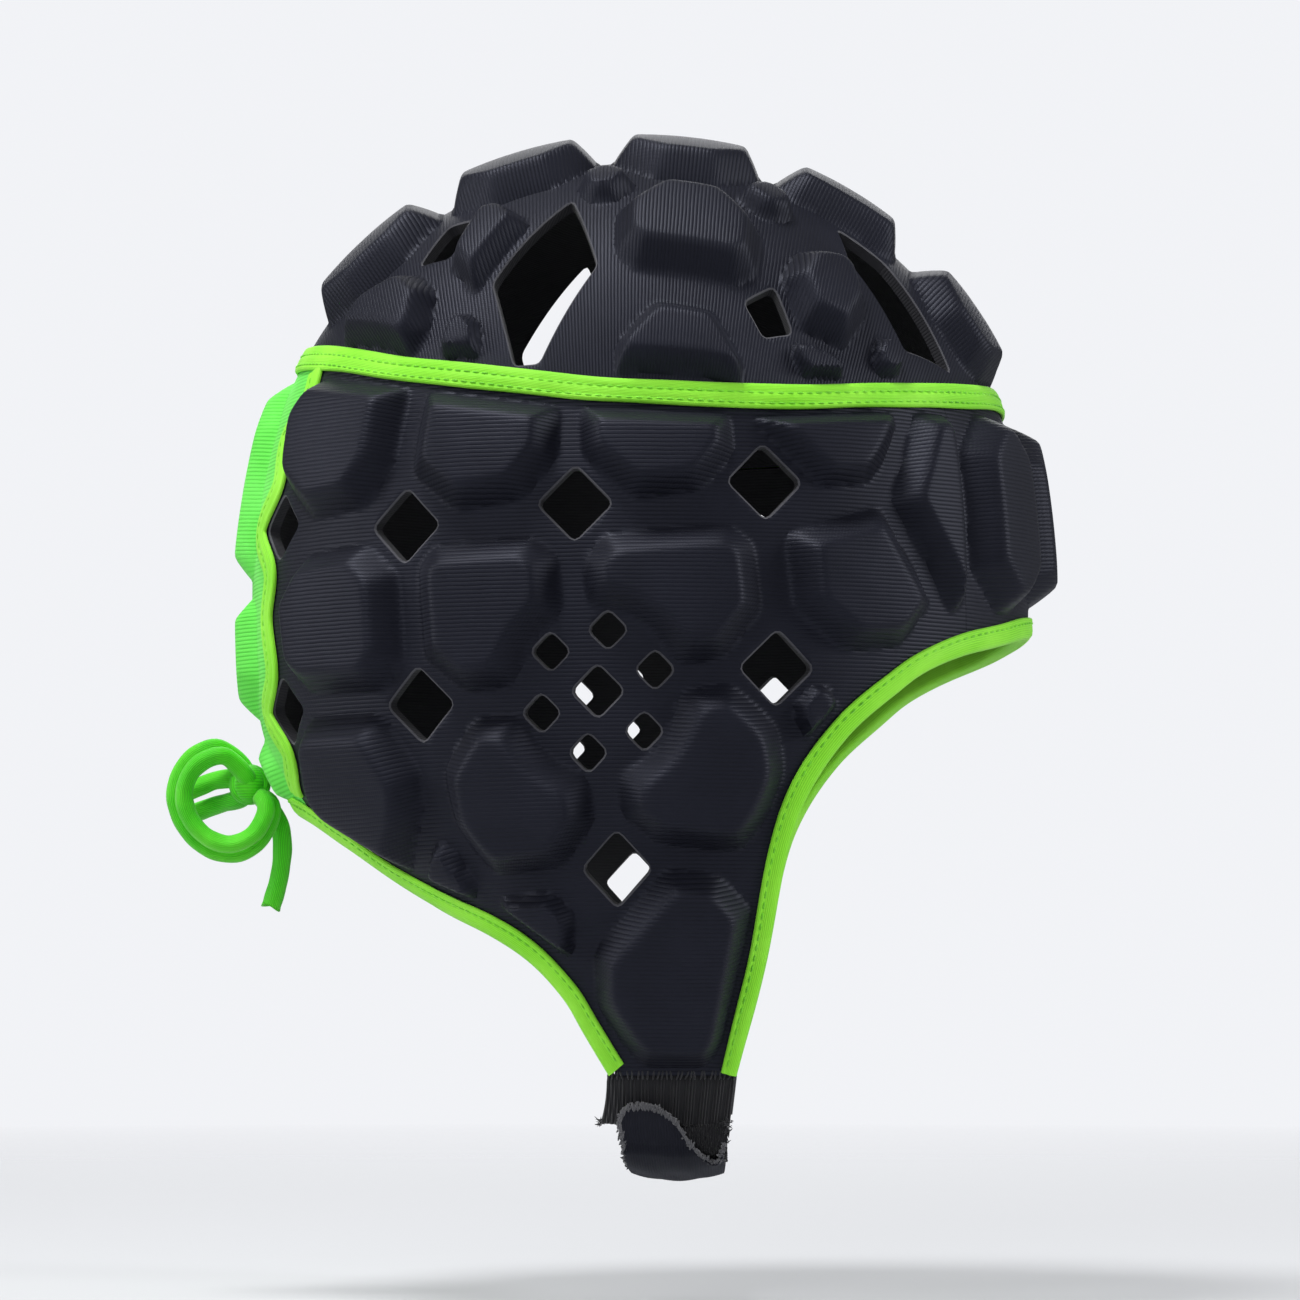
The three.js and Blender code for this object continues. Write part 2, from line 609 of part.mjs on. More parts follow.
function frontPanel() {
  const seam = readLine(browCut, 'y', -DOME_HEIGHT) - SEAM_GAP / 2;
  const edges = {
    middle: 0,
    level: -DOME_HEIGHT,
    bottom: (s) => readLine(faceCut, 'x', Math.abs(s)),
    top: (s) => seamHeight(s) - SEAM_GAP / 2,
    front: (z) => -(readLine(browCut, 'y', Math.max(z, FACE_CORNER)) - SEAM_GAP / 2),
    rear: (z) => readLine(browCut, 'y', Math.max(z, FACE_CORNER)) - SEAM_GAP / 2,
  };
  const base = plate(SIDE, edges, 8, [0, 0.33, 0.67, 1]);
  const pads = BROW_PADS.map((row) => sized(row, flat(row)));
  const lines = [
    { points: seamLine(-seam, seam), margin: TAPE_MARGIN },
    { points: browCut, margin: VALLEY / 2 },
    { points: browCut.map((p) => new THREE.Vector2(-p.x, p.y)), margin: VALLEY / 2 },
    { points: edgeLine(FACE_EDGE, 0), margin: BIND_MARGIN },
    { points: edgeLine(FACE_EDGE, 0).map((p) => new THREE.Vector2(-p.x, p.y)), margin: BIND_MARGIN },
  ];
  return padded(base, SIDE, pads, [], lines, BROW_PAD_RISE, null);
}

function rearPanel() {
  const round = 2 * HALF_GIRTH;
  const fold = (s) => (s > HALF_GIRTH ? round - s : s);
  const waveEnd = Math.max(...REAR_SEAM.map((row) => row.round)) * HALF_GIRTH;
  const edges = {
    middle: HALF_GIRTH,
    level: -DOME_HEIGHT,
    bottom: (s) => readLine(neckCut, 'x', Math.max(fold(s), waveEnd)),
    top: (s) => seamHeight(s) - SEAM_GAP / 2,
    front: (z) => readLine(rearCut, 'y', z) + WAVE_GAP / 2,
    rear: (z) => round - readLine(rearCut, 'y', z) - WAVE_GAP / 2,
  };
  // The rows meet the side panels' rows along the wavy seams.
  const corner = flat(REAR_SEAM[0]).x;
  const [low, high] = [edges.bottom(corner), edges.top(corner)];
  const rows = SIDE_ROWS.map((rise) => THREE.MathUtils.lerp(FLAP_END, high, levelOf(rise)));
  const levels = [0, ...rows.filter((z) => z > low + 2).map((z) => (z - low) / (high - low))];
  const base = plate(SIDE, edges, 6, levels);
  const pads = REAR_PADS.map((row) => sized(row, flat(row)));
  const farRear = rearCut.map((p) => new THREE.Vector2(round - p.x, p.y));
  const lines = [
    { points: seamLine(HALF_GIRTH * 0.8, HALF_GIRTH * 1.2), margin: TAPE_MARGIN },
    { points: rearCut, margin: TAPE_MARGIN },
    { points: farRear, margin: TAPE_MARGIN },
    { points: edgeLine(NECK_EDGE, 0), margin: BIND_MARGIN },
  ];
  return padded(base, SIDE, pads, [], lines, REAR_PAD_RISE, null);
}

// The way down from the top at which the crown meets its seam, as a share of a quarter turn.
function seamTilt(angle) {
  const share = SEAM_LEVEL + SEAM_TILT * Math.cos(angle) + SEAM_DIP * Math.cos(2 * angle);
  return Math.atan2((1 - share ** FORM_POWER) ** (1 / FORM_POWER), share) / (Math.PI / 2);
}

function crown() {
  const rings = [0, 0.28, 0.54, 0.78, 1];
  const profile = [
    ...rings.map((r) => new THREE.Vector2(r, 0)),
    ...rings.map((r) => new THREE.Vector2(r, 1)).reverse(),
  ];
  const base = solidFrom(new THREE.LatheGeometry(profile, 24), (x, y, z) => {
    const angle = Math.atan2(x, z);
    const share = Math.hypot(x, z) * (seamTilt(angle) - SEAM_GAP / 2 / ARC_ASIDE);
    return raised(CROWN, share * Math.cos(angle) * ARC_AHEAD, share * Math.sin(angle) * ARC_ASIDE, y * WALL);
  });
  const place = (row, side) => new THREE.Vector2(row.ahead * ARC_AHEAD, row.aside * ARC_ASIDE * side);
  const pads = [1, -1].flatMap((side) => CROWN_PADS.map((row) => ({
    ...sized(row, place(row, side)),
    lift: (row.lift ?? 0) * PITCH * side,
    turn: row.turn * side,
  })));
  const vents = [1, -1].flatMap((side) => CROWN_VENTS.map((corners) => corners.map((row) => place(row, side))));
  const rim = [];
  const pieces = 72;
  for (let i = 0; i <= pieces; i += 1) {
    const angle = i / pieces * 2 * Math.PI;
    const share = seamTilt(angle);
    rim.push(new THREE.Vector2(share * Math.cos(angle) * ARC_AHEAD, share * Math.sin(angle) * ARC_ASIDE));
  }
  return padded(base, CROWN, pads, vents, [{ points: rim, margin: TAPE_MARGIN }], CROWN_PAD_RISE, null);
}

// A strip along a line of the pattern. Its section is drawn with x across the line and y out of the form.
function strip(form, points, section, steps) {
  const curve = new THREE.SplineCurve(points);
  const bar = new THREE.ExtrudeGeometry(new THREE.Shape(section), { depth: 1, steps, bevelEnabled: false });
  return solidFrom(bar, (x, y, z) => {
    const point = curve.getPointAt(z);
    const tangent = curve.getTangentAt(z);
    return raised(form, point.x - tangent.y * x, point.y + tangent.x * x, y);
  });
}

const box2 = (x0, x1, y0, y1) => [
  new THREE.Vector2(x0, y0),
  new THREE.Vector2(x1, y0),
  new THREE.Vector2(x1, y1),
  new THREE.Vector2(x0, y1),
];

// The folded binding's section: a channel over the panel's edge, its back at x = 0.
function channel() {
  const inner = -INNER_FIT;
  const outer = WALL + FIT;
  return [
    new THREE.Vector2(0, inner - BIND_THICK),
    new THREE.Vector2(BIND_WIDTH, inner - BIND_THICK),
    new THREE.Vector2(BIND_WIDTH, inner),
    new THREE.Vector2(BIND_THICK, inner),
    new THREE.Vector2(BIND_THICK, outer),
    new THREE.Vector2(BIND_WIDTH, outer),
    new THREE.Vector2(BIND_WIDTH, outer + BIND_THICK),
    new THREE.Vector2(0, outer + BIND_THICK),
  ];
}

function faceBinding() {
  const right = FACE_EDGE.map(flat);
  const left = right.slice(1).map((p) => new THREE.Vector2(-p.x, p.y)).reverse();
  return strip(SIDE, [...left, ...right], channel(), 40);
}

function neckBinding() {
  const right = NECK_EDGE.map(flat);
  const left = right.slice(0, -1).map((p) => new THREE.Vector2(2 * HALF_GIRTH - p.x, p.y)).reverse();
  return strip(SIDE, [...right, ...left], channel(), 30);
}

// The tape round the seam under the crown, one closed ring.
function crownTape() {
  const height = WALL + FIT;
  const middle = 2 * TAPE_WIDTH;
  const section = [...box2(middle - TAPE_WIDTH / 2, middle + TAPE_WIDTH / 2, height, height + TAPE_THICK)];
  section.push(section[0].clone());
  return solidFrom(new THREE.LatheGeometry(section, 44), (x, y, z) => {
    const s = Math.atan2(x, z) / Math.PI * HALF_GIRTH;
    return raised(SIDE, s, seamHeight(s) + Math.hypot(x, z) - middle, y);
  });
}

function rearTape(form) {
  const top = seamHeight(flat(REAR_SEAM[0]).x) - TAPE_WIDTH / 2 - FIT;
  const line = rearCut.filter((p) => p.y < top && p.y > NECK_CORNER + BIND_WIDTH + 2);
  const height = WALL + FIT;
  return strip(form, line, box2(-TAPE_WIDTH / 2, TAPE_WIDTH / 2, height, height + TAPE_THICK), 16);
}

function elastic(form) {
  const [front, rear] = [FACE_EDGE[FACE_EDGE.length - 1].round, NECK_EDGE[0].round];
  const middle = (WALL - ELASTIC_THICK) / 2;
  return solidFrom(new THREE.BoxGeometry(1, 1, 1, 3, 2, 1), (x, y, z) => {
    const s = THREE.MathUtils.lerp(front, rear, x + 0.5) * HALF_GIRTH;
    const height = FLAP_END - SEAM_GAP - (y + 0.5) * ELASTIC_DROP;
    return raised(form, s, height, middle + (z + 0.5) * ELASTIC_THICK);
  });
}

// The chin strap: from the left elastic under the chin to the outside of the right one.
function strapCurve() {
  const end = FLAP_END - SEAM_GAP - ELASTIC_DROP;
  const left = sidePoint(-HALF_GIRTH / 2, end).y + WALL / 2;
  const right = sidePoint(HALF_GIRTH / 2, end).y - WALL / 2;
  const sag = 15;
  return new THREE.SplineCurve([
    new THREE.Vector2(left - 0.2, end - SEAM_GAP - STRAP_THICK / 2),
    new THREE.Vector2(left - 2.8, end - sag * 0.36),
    new THREE.Vector2(left * 0.8, end - sag * 0.72),
    new THREE.Vector2(left * 0.45, end - sag * 0.95),
    new THREE.Vector2(0, end - sag),
    new THREE.Vector2(right * 0.45, end - sag * 0.97),
    new THREE.Vector2(right * 0.85, end - sag * 0.78),
    new THREE.Vector2(right - 2.4, end - sag * 0.5),
    new THREE.Vector2(right - 4.2, end - sag * 0.3),
  ]);
}

function bandPoint(curve, share, across, height) {
  const point = curve.getPointAt(share);
  const tangent = curve.getTangentAt(share);
  return new THREE.Vector3(across, point.x + tangent.y * height, point.y - tangent.x * height);
}

function chinStrap() {
  const curve = strapCurve();
  return solidFrom(new THREE.BoxGeometry(1, 1, 1, 1, 20, 1), (x, y, z) =>
    bandPoint(curve, y + 0.5, STRAP_CENTRE + x * STRAP_WIDTH, z * STRAP_THICK));
}

// The strap's end, turned up over the elastic: its upper edge falls to the front and curls up again.
function strapTab() {
  const start = strapCurve().getPointAt(1);
  const drift = 0.16;
  return solidFrom(new THREE.BoxGeometry(1, 1, 1, 9, 2, 1), (x, y, z) => {
    const fall = THREE.MathUtils.smoothstep(x, -0.1, 0.36);
    const curl = THREE.MathUtils.smoothstep(x, 0.36, 0.5);
    const corner = THREE.MathUtils.smoothstep(-x, 0.36, 0.5);
    const top = TAB_HEIGHT * (1 - 0.74 * fall + 0.32 * curl - 0.16 * corner);
    const foot = SEAM_GAP + STRAP_THICK / 2;
    const up = foot + (y + 0.5) * (top - foot);
    const side = start.x - drift * up - z * STRAP_THICK - 1.6 * curl * (y + 0.5);
    return new THREE.Vector3(STRAP_CENTRE + x * STRAP_WIDTH, side, start.y + up);
  });
}

// A lace's stretch: a plain tube along its route.
function laceTube(route) {
  const curve = new THREE.CatmullRomCurve3(route.map((p) => new THREE.Vector3(...p)));
  const section = new THREE.Shape();
  section.absarc(0, 0, LACE / 2, 0, 2 * Math.PI);
  section.autoClose = true;
  const ring = new THREE.Shape(section.getPoints(LACE_SIDES / 2).slice(0, -1));
  const steps = Math.max(3, Math.round(curve.getLength() / (1.2 * LACE)));
  const tube = new THREE.ExtrudeGeometry(ring, { extrudePath: curve, steps, bevelEnabled: false });
  return solidFrom(tube, (x, y, z) => new THREE.Vector3(x, y, z));
}

function laceKnot() {
  return solidFrom(new THREE.SphereGeometry(0.5, 10, 6), (x, y, z) =>
    new THREE.Vector3(KNOT_AT[0] + x * KNOT.wide, KNOT_AT[1] + z * KNOT.long, KNOT_AT[2] + y * KNOT.tall));
}

add('crown', crown(), KNIT);
add('side_panel_right', sidePanel(SIDE), KNIT);
add('side_panel_left', sidePanel(SIDE_LEFT), KNIT);
add('front_panel', frontPanel(), KNIT);
add('rear_panel', rearPanel(), GREEN);
add('crown_binding', crownTape(), GREEN);
add('face_binding', faceBinding(), GREEN);
add('neck_binding', neckBinding(), GREEN);
add('rear_tape_right', rearTape(SIDE), GREEN);
add('rear_tape_left', rearTape(SIDE_LEFT), GREEN);
add('strap_elastic_right', elastic(SIDE), ELASTIC);
add('strap_elastic_left', elastic(SIDE_LEFT), ELASTIC);
add('chin_strap', chinStrap(), ELASTIC);
add('strap_tab', strapTab(), FLEECE);
add('lace_knot', laceKnot(), LACE_GREEN);
add('lace_loop_near', laceTube(LACE_LOOP_NEAR), LACE_GREEN);
add('lace_loop_far', laceTube(LACE_LOOP_FAR), LACE_GREEN);
add('lace_tail_upper', laceTube(LACE_TAIL_UPPER), LACE_GREEN);
add('lace_tail_lower', laceTube(LACE_TAIL_LOWER), LACE_GREEN);
add('lace_tail_low', laceTube(LACE_TAIL_LOW), LACE_GREEN);

export default group;
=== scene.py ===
# %% [markdown]
# A rugby scrum cap: soft foam pads moulded between two knits, sewn together
# with green tapes, with a chin strap below and a lace behind. The frame is the
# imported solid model. It gives the size and the place of every piece, and each
# plain solid is replaced below by a finished one.
# %% The frame
import math
import random

import bmesh
import bpy
import numpy as np
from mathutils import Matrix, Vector, geometry


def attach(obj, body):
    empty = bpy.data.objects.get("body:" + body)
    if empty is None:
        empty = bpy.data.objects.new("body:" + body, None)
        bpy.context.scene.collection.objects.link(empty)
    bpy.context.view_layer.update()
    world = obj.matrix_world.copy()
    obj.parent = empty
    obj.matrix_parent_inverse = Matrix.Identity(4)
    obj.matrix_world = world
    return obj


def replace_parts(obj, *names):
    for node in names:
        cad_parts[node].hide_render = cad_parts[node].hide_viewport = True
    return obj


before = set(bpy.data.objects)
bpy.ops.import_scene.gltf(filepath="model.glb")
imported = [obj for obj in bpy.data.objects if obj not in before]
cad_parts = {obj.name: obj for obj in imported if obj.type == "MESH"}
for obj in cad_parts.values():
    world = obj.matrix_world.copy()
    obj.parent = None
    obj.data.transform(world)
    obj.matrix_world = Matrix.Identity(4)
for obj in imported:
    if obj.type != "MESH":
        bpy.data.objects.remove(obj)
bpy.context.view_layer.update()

MM = 0.001
print("nodes:", len(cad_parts))

# %% [markdown]
# The camera stands a little over a metre away, level with the ear and slightly
# below the middle, as a product photographer would.
# %% Camera
TARGET = Vector((2.7, 0, -129.7)) * MM
CAMERA_DISTANCE = 1.15
CAMERA_AZIMUTH, CAMERA_ELEVATION = math.radians(1.5), math.radians(-4.7)
LENS, SENSOR = 117, 36


def look_at(obj, target):
    """Turns a camera or lamp to look at a point."""
    way = target - obj.location
    obj.rotation_euler = way.to_track_quat("-Z", "Y").to_euler()


away = Vector((
    math.sin(CAMERA_AZIMUTH) * math.cos(CAMERA_ELEVATION),
    -math.cos(CAMERA_AZIMUTH) * math.cos(CAMERA_ELEVATION),
    math.sin(CAMERA_ELEVATION),
))
bpy.ops.object.camera_add(location=TARGET + away * CAMERA_DISTANCE)
camera = bpy.context.object
camera.data.lens = LENS
camera.data.sensor_width = SENSOR
camera.data.clip_start = 0.01
look_at(camera, TARGET)
bpy.context.scene.camera = camera
bpy.context.scene.view_settings.view_transform = "Standard"
print("camera at", [round(x, 3) for x in camera.location])

# %% [markdown]
# The inner form of the cap is an oval dome with flaps under it. Every panel is
# drawn flat, as a pattern, and these functions lay the pattern on the head: the
# sides by the way round and the height, the crown by the ways ahead and aside.
# %% The head form
HEAD_LENGTH, HEAD_WIDTH = 205 * MM, 158 * MM
DOME_HEIGHT, FLAP_DROP = 112 * MM, 131 * MM
FORM_POWER, SIDE_TAPER, NAPE_TAPER, NAPE_POWER = 2.12, 0.26, 1.94, 3.5
HALF_LENGTH, HALF_WIDTH = HEAD_LENGTH / 2, HEAD_WIDTH / 2
HALF_GIRTH = math.pi * (HALF_LENGTH + HALF_WIDTH) / 2
OVAL = (HALF_LENGTH - HALF_WIDTH) / (HALF_LENGTH + HALF_WIDTH) / 2
WALL = 3 * MM


def pair(first, second):
    """Two rows of values as flat points."""
    return np.stack([first, second], -1)


def unit(vectors):
    """Vectors made 1 long."""
    return vectors / np.linalg.norm(vectors, axis=-1, keepdims=True)


def angle_at(ways):
    """The angle that a way round the head comes to."""
    turn = np.pi * ways / HALF_GIRTH
    return turn + OVAL * np.sin(2 * turn)


def side_points(ways, heights):
    """Points of the inner form from the ways round it and the heights."""
    angle = angle_at(ways)
    behind = np.maximum(-np.cos(angle), 0) ** 2
    rise = np.clip((heights + DOME_HEIGHT) / DOME_HEIGHT, 0, 0.995)
    drop = np.maximum(-heights - DOME_HEIGHT, 0) / FLAP_DROP
    dome = (1 - rise ** FORM_POWER) ** (1 / FORM_POWER)
    flap = 1 - SIDE_TAPER * drop ** 2 * (1 - behind) - NAPE_TAPER * drop ** NAPE_POWER * behind
    reach = np.where(rise > 0, dome, flap)
    x, y = HALF_LENGTH * reach * np.cos(angle), -HALF_WIDTH * reach * np.sin(angle)
    return np.stack([x, y, heights], -1)


def dome_size(tilt):
    sin, cos = np.abs(np.sin(tilt)), np.abs(np.cos(tilt))
    return (sin ** FORM_POWER + cos ** FORM_POWER) ** (-1 / FORM_POWER)


def quarter_arc(half_axis):
    """The length of the form's curve from the top down to the brow line."""
    tilt = np.linspace(0, np.pi / 2, 61)
    size = dome_size(tilt)
    across, down = half_axis * size * np.sin(tilt), DOME_HEIGHT * size * np.cos(tilt)
    return float(np.hypot(np.diff(across), np.diff(down)).sum())


ARC_AHEAD, ARC_ASIDE = quarter_arc(HALF_LENGTH), quarter_arc(HALF_WIDTH)


def crown_points(ahead, aside):
    """Points of the dome from the ways ahead and aside of its top."""
    ahead, aside = ahead / ARC_AHEAD, aside / ARC_ASIDE
    tilt = np.hypot(ahead, aside) * np.pi / 2
    angle = np.arctan2(aside, ahead)
    size = dome_size(tilt)
    return np.stack([
        HALF_LENGTH * size * np.sin(tilt) * np.cos(angle),
        -HALF_WIDTH * size * np.sin(tilt) * np.sin(angle),
        DOME_HEIGHT * (size * np.cos(tilt) - 1),
    ], -1)


def left_side_points(ways, heights):
    return side_points(ways, heights) * np.array([1, -1, 1])


# Each form has the function that lays it and its hand, -1 where it is mirrored.
SIDE, SIDE_LEFT, CROWN = (side_points, 1), (left_side_points, -1), (crown_points, 1)


def frame_at(form, pattern):
    """Points of a form with the ways along the pattern and the way out."""
    place, hand = form
    a, b = np.asarray(pattern, float).T
    step = 0.05 * MM
    along_a = (place(a + step, b) - place(a - step, b)) / (2 * step)
    along_b = (place(a, b + step) - place(a, b - step)) / (2 * step)
    return place(a, b), along_a, along_b, unit(np.cross(along_b, along_a) * hand)


def raised(form, pattern, heights):
    point, _, _, out = frame_at(form, pattern)
    return point + out * np.reshape(heights, (-1, 1))


print("arcs from the top, mm:", round(ARC_AHEAD / MM), round(ARC_ASIDE / MM))

# %% [markdown]
# A cap is cut from flat panels. These tables hold their edges as shares of the
# head's own sizes: round is the way round from the face to the back, rise the
# height above the brow line or below it.
# %% Panel edges
FACE_EDGE = [(0, -0.115), (0.060, -0.126), (0.112, -0.146), (0.170, -0.172), (0.219, -0.211), (0.250, -0.255),
             (0.297, -0.342), (0.331, -0.449), (0.349, -0.576), (0.358, -0.774), (0.376, -1.0)]
NECK_EDGE = [(0.526, -1.0), (0.554, -0.914), (0.576, -0.848), (0.614, -0.776), (0.665, -0.721),
             (0.741, -0.663), (0.809, -0.602), (0.862, -0.540), (0.920, -0.488), (1.0, -0.465)]
REAR_SEAM = [(0.870, 0.480), (0.862, 0.400), (0.886, 0.320), (0.880, 0.210), (0.912, 0.106), (0.884, 0.005),
             (0.892, -0.090), (0.884, -0.200), (0.908, -0.276), (0.882, -0.357), (0.905, -0.430),
             (0.892, -0.520)]
BROW_SEAM = [(0.176, 0.420), (0.178, 0.100), (0.172, -0.172)]
SEAM_LEVEL, SEAM_TILT, SEAM_DIP = 0.4225, -0.055, 0.0525
SEAM_GAP, WAVE_GAP, BROW_GAP = 0.45 * MM, 0.6 * MM, 0.12 * MM
EDGE_CUT = 2.2 * MM
LINE_PIECES, CURVE_STEPS = 240, 24


def height_of(rise):
    return -DOME_HEIGHT + rise * (DOME_HEIGHT if rise >= 0 else FLAP_DROP)


def flat(round_share, rise):
    return np.array([round_share * HALF_GIRTH, height_of(rise)])


def distances(line):
    """The way along a line to each of its points."""
    return np.r_[0, np.cumsum(np.linalg.norm(np.diff(line, axis=0), axis=1))]


def length_of(line):
    return float(distances(line)[-1])


def resampled(line, pieces):
    lengths = distances(line)
    at = np.linspace(0, lengths[-1], pieces + 1)
    return np.stack([np.interp(at, lengths, line[:, k]) for k in range(line.shape[1])], -1)


def smooth_line(points, pieces=LINE_PIECES):
    """A smooth curve through points, as evenly spaced points."""
    points = np.asarray(points, float)
    held = np.vstack([points[0], points, points[-1]])
    line = []
    for p0, p1, p2, p3 in zip(held, held[1:], held[2:], held[3:]):
        for t in np.linspace(0, 1, CURVE_STEPS, endpoint=False):
            line.append(0.5 * (2 * p1 + (p2 - p0) * t + (2 * p0 - 5 * p1 + 4 * p2 - p3) * t * t
                               + (3 * p1 - p0 - 3 * p2 + p3) * t ** 3))
    line.append(points[-1])
    return resampled(np.array(line), pieces)


def tangents(line):
    return unit(np.gradient(line, axis=0))


def moved_aside(line, shift):
    """A flat line moved to the left of its run."""
    way = tangents(line)
    return line + pair(-way[:, 1], way[:, 0]) * shift


def mirrored_line(line, about=0.0):
    return pair(2 * about - line[:, 0], line[:, 1])


def read_line(line, axis, values):
    """The other coordinate where a line crosses each value."""
    order = np.argsort(line[:, axis])
    return np.interp(values, line[order, axis], line[order, 1 - axis])


def seam_share(angle):
    """How high the seam under the crown runs, as a share of the dome."""
    return SEAM_LEVEL + SEAM_TILT * np.cos(angle) + SEAM_DIP * np.cos(2 * angle)


def seam_height(ways):
    return -DOME_HEIGHT + seam_share(angle_at(ways)) * DOME_HEIGHT


def seam_tilt(angle):
    share = seam_share(angle)
    return np.arctan2((1 - share ** FORM_POWER) ** (1 / FORM_POWER), share) / (np.pi / 2)


face_points, neck_points, rear_points, brow_points = (
    np.array([flat(*row) for row in rows]) for rows in (FACE_EDGE, NECK_EDGE, REAR_SEAM, BROW_SEAM))
face_edge, neck_edge = smooth_line(face_points), smooth_line(neck_points)
face_cut, neck_cut = moved_aside(face_edge, EDGE_CUT), moved_aside(neck_edge, EDGE_CUT)
rear_cut, brow_cut = smooth_line(rear_points), smooth_line(brow_points)
FLAP_END = height_of(-1)
FACE_CORNER = float(read_line(face_cut, 0, brow_points[-1][0]))
NECK_CORNER = float(read_line(neck_cut, 0, rear_points[-1][0]))
print("flap end, mm:", round(FLAP_END / MM))

# %% [markdown]
# The pads and vents come from short tables, nearly the same as the solid model's.
# A pad has a place, half sizes in shares of the pad pitch, a turn in degrees, and
# a lift of its outline's middle towards a seam that cuts it off.
# %% Pads and vents
PITCH = 46 * MM
SIDE_PADS = [
    (0.790, 0.250, 0.46, 0.46, -7, 0.13), (0.636, 0.226, 0.46, 0.46, -7, 0.18),
    (0.474, 0.237, 0.47, 0.46, -7, 0.20), (0.321, 0.262, 0.46, 0.46, -7, 0.21),
    (0.205, 0.122, 0.36, 0.60, 4, 0), (0.776, -0.114, 0.46, 0.47, -7, 0), (0.630, -0.095, 0.44, 0.47, -7, 0),
    (0.464, -0.062, 0.48, 0.46, -7, 0), (0.289, -0.015, 0.44, 0.46, -7, 0),
    (0.779, -0.430, 0.44, 0.48, -30, 0), (0.607, -0.461, 0.43, 0.46, -7, 0),
    (0.436, -0.414, 0.48, 0.47, -7, 0), (0.694, -0.604, 0.21, 0.17, 35, 0), (0.598, -0.715, 0.30, 0.22, 38, 0),
    (0.455, -0.790, 0.52, 0.58, -4, 0), (0.328, -0.322, 0.15, 0.34, -32, 0),
]
BROW_PADS = [(-0.118, 0.135, 0.33, 0.60, 0, 0), (0, 0.140, 0.36, 0.60, 0, 0),
             (0.118, 0.135, 0.33, 0.60, 0, 0)]
REAR_PADS = [(1, 0.205, 0.39, 0.72, 0, 0), (1, -0.135, 0.42, 0.46, 0, 0), (1, -0.396, 0.42, 0.27, 0, 0)]
CROWN_PADS = [
    (-0.450, 0.150, 0.46, 0.44, 0, 0), (-0.190, 0.150, 0.47, 0.44, 0, 0), (0.080, 0.150, 0.46, 0.44, 0, 0),
    (0.335, 0.140, 0.42, 0.44, 0, 0), (0.590, 0.140, 0.40, 0.44, 0, 0), (-0.470, 0.445, 0.42, 0.36, 24, 0),
    (-0.246, 0.420, 0.26, 0.42, -24, 0), (-0.324, 0.605, 0.15, 0.22, 10, 0), (0.092, 0.465, 0.46, 0.42, 0, 0),
    (0.092, 0.660, 0.46, 0.42, 0, 0.26), (0.336, 0.495, 0.28, 0.40, 16, 0), (0.356, 0.618, 0.24, 0.14, 18, 0),
    (0.480, 0.502, 0.12, 0.14, 10, 0), (-0.050, 0.322, 0.18, 0.18, 0, 0), (0.215, 0.303, 0.18, 0.18, 0, 0),
]
SIDE_VENTS = [(0.708, 0.077, 0.21), (0.550, 0.115, 0.21), (0.380, 0.166, 0.21), (0.697, -0.282, 0.21),
              (0.369, -0.217, 0.21), (0.514, -0.603, 0.21), (0.868, 0.106, 0.19), (0.868, -0.276, 0.19)]
EAR_HALF, EAR_RING, EAR_RING_HALF, EAR_SCOOP = 0.15, 0.34, 0.112, 0.445
EAR_COUNT, EAR_START = 6, 10
CROWN_VENTS = [
    [(-0.270, 0.300), (-0.318, 0.262), (-0.378, 0.345), (-0.322, 0.385)],
    [(-0.105, 0.352), (-0.063, 0.534), (-0.178, 0.692), (-0.227, 0.680), (-0.250, 0.509)],
    [(0.250, 0.520), (0.200, 0.575), (0.244, 0.625), (0.296, 0.592)],
    [(0.342, 0.245), (0.374, 0.343), (0.512, 0.437), (0.612, 0.340), (0.434, 0.238)],
]
VALLEY, NARROW_VALLEY, VENT_MARGIN = 5.5 * MM, 3.2 * MM, 2.6 * MM
SIDE_RISE, CROWN_RISE, BROW_RISE, REAR_RISE = 7.6 * MM, 8 * MM, 8 * MM, 4.6 * MM
TAPE_WIDTH, BIND_WIDTH = 6.3 * MM, 6 * MM
TAPE_MARGIN, BIND_MARGIN = TAPE_WIDTH / 2 + 1.4 * MM, BIND_WIDTH + 2 * MM
BROW_MARGIN, NAPE_MARGIN, FLAP_MARGIN = 0.7 * MM, 3.4 * MM, 2 * MM
BROW_END = 0.24 * HALF_GIRTH
ear = flat(0.530, -0.263)


def pad_row(at, wide, tall, turn, lift):
    return {"at": at, "wide": wide * PITCH, "tall": tall * PITCH, "lift": lift * PITCH,
            "turn": math.radians(turn)}


def side_rows(table):
    return [pad_row(flat(r, h), *sizes) for r, h, *sizes in table]


def crown_rows():
    """The crown's pads, on its right and then mirrored on its left."""
    rows = []
    for hand in (1, -1):
        for ahead, aside, wide, tall, turn, lift in CROWN_PADS:
            at = np.array([ahead * ARC_AHEAD, aside * ARC_ASIDE * hand])
            rows.append(pad_row(at, wide, tall, turn * hand, lift * hand))
    return rows


def diamond(at, half):
    return at + half * np.array([(1, 0), (0, 1), (-1, 0), (0, -1)])


def reach_of(pad, way):
    """How far a pad reaches from its middle in one direction."""
    cos, sin = math.cos(pad["turn"]), math.sin(pad["turn"])
    x, y = way[0] * cos + way[1] * sin, -way[0] * sin + way[1] * cos
    return 1 / math.hypot(x / pad["wide"], y / pad["tall"])


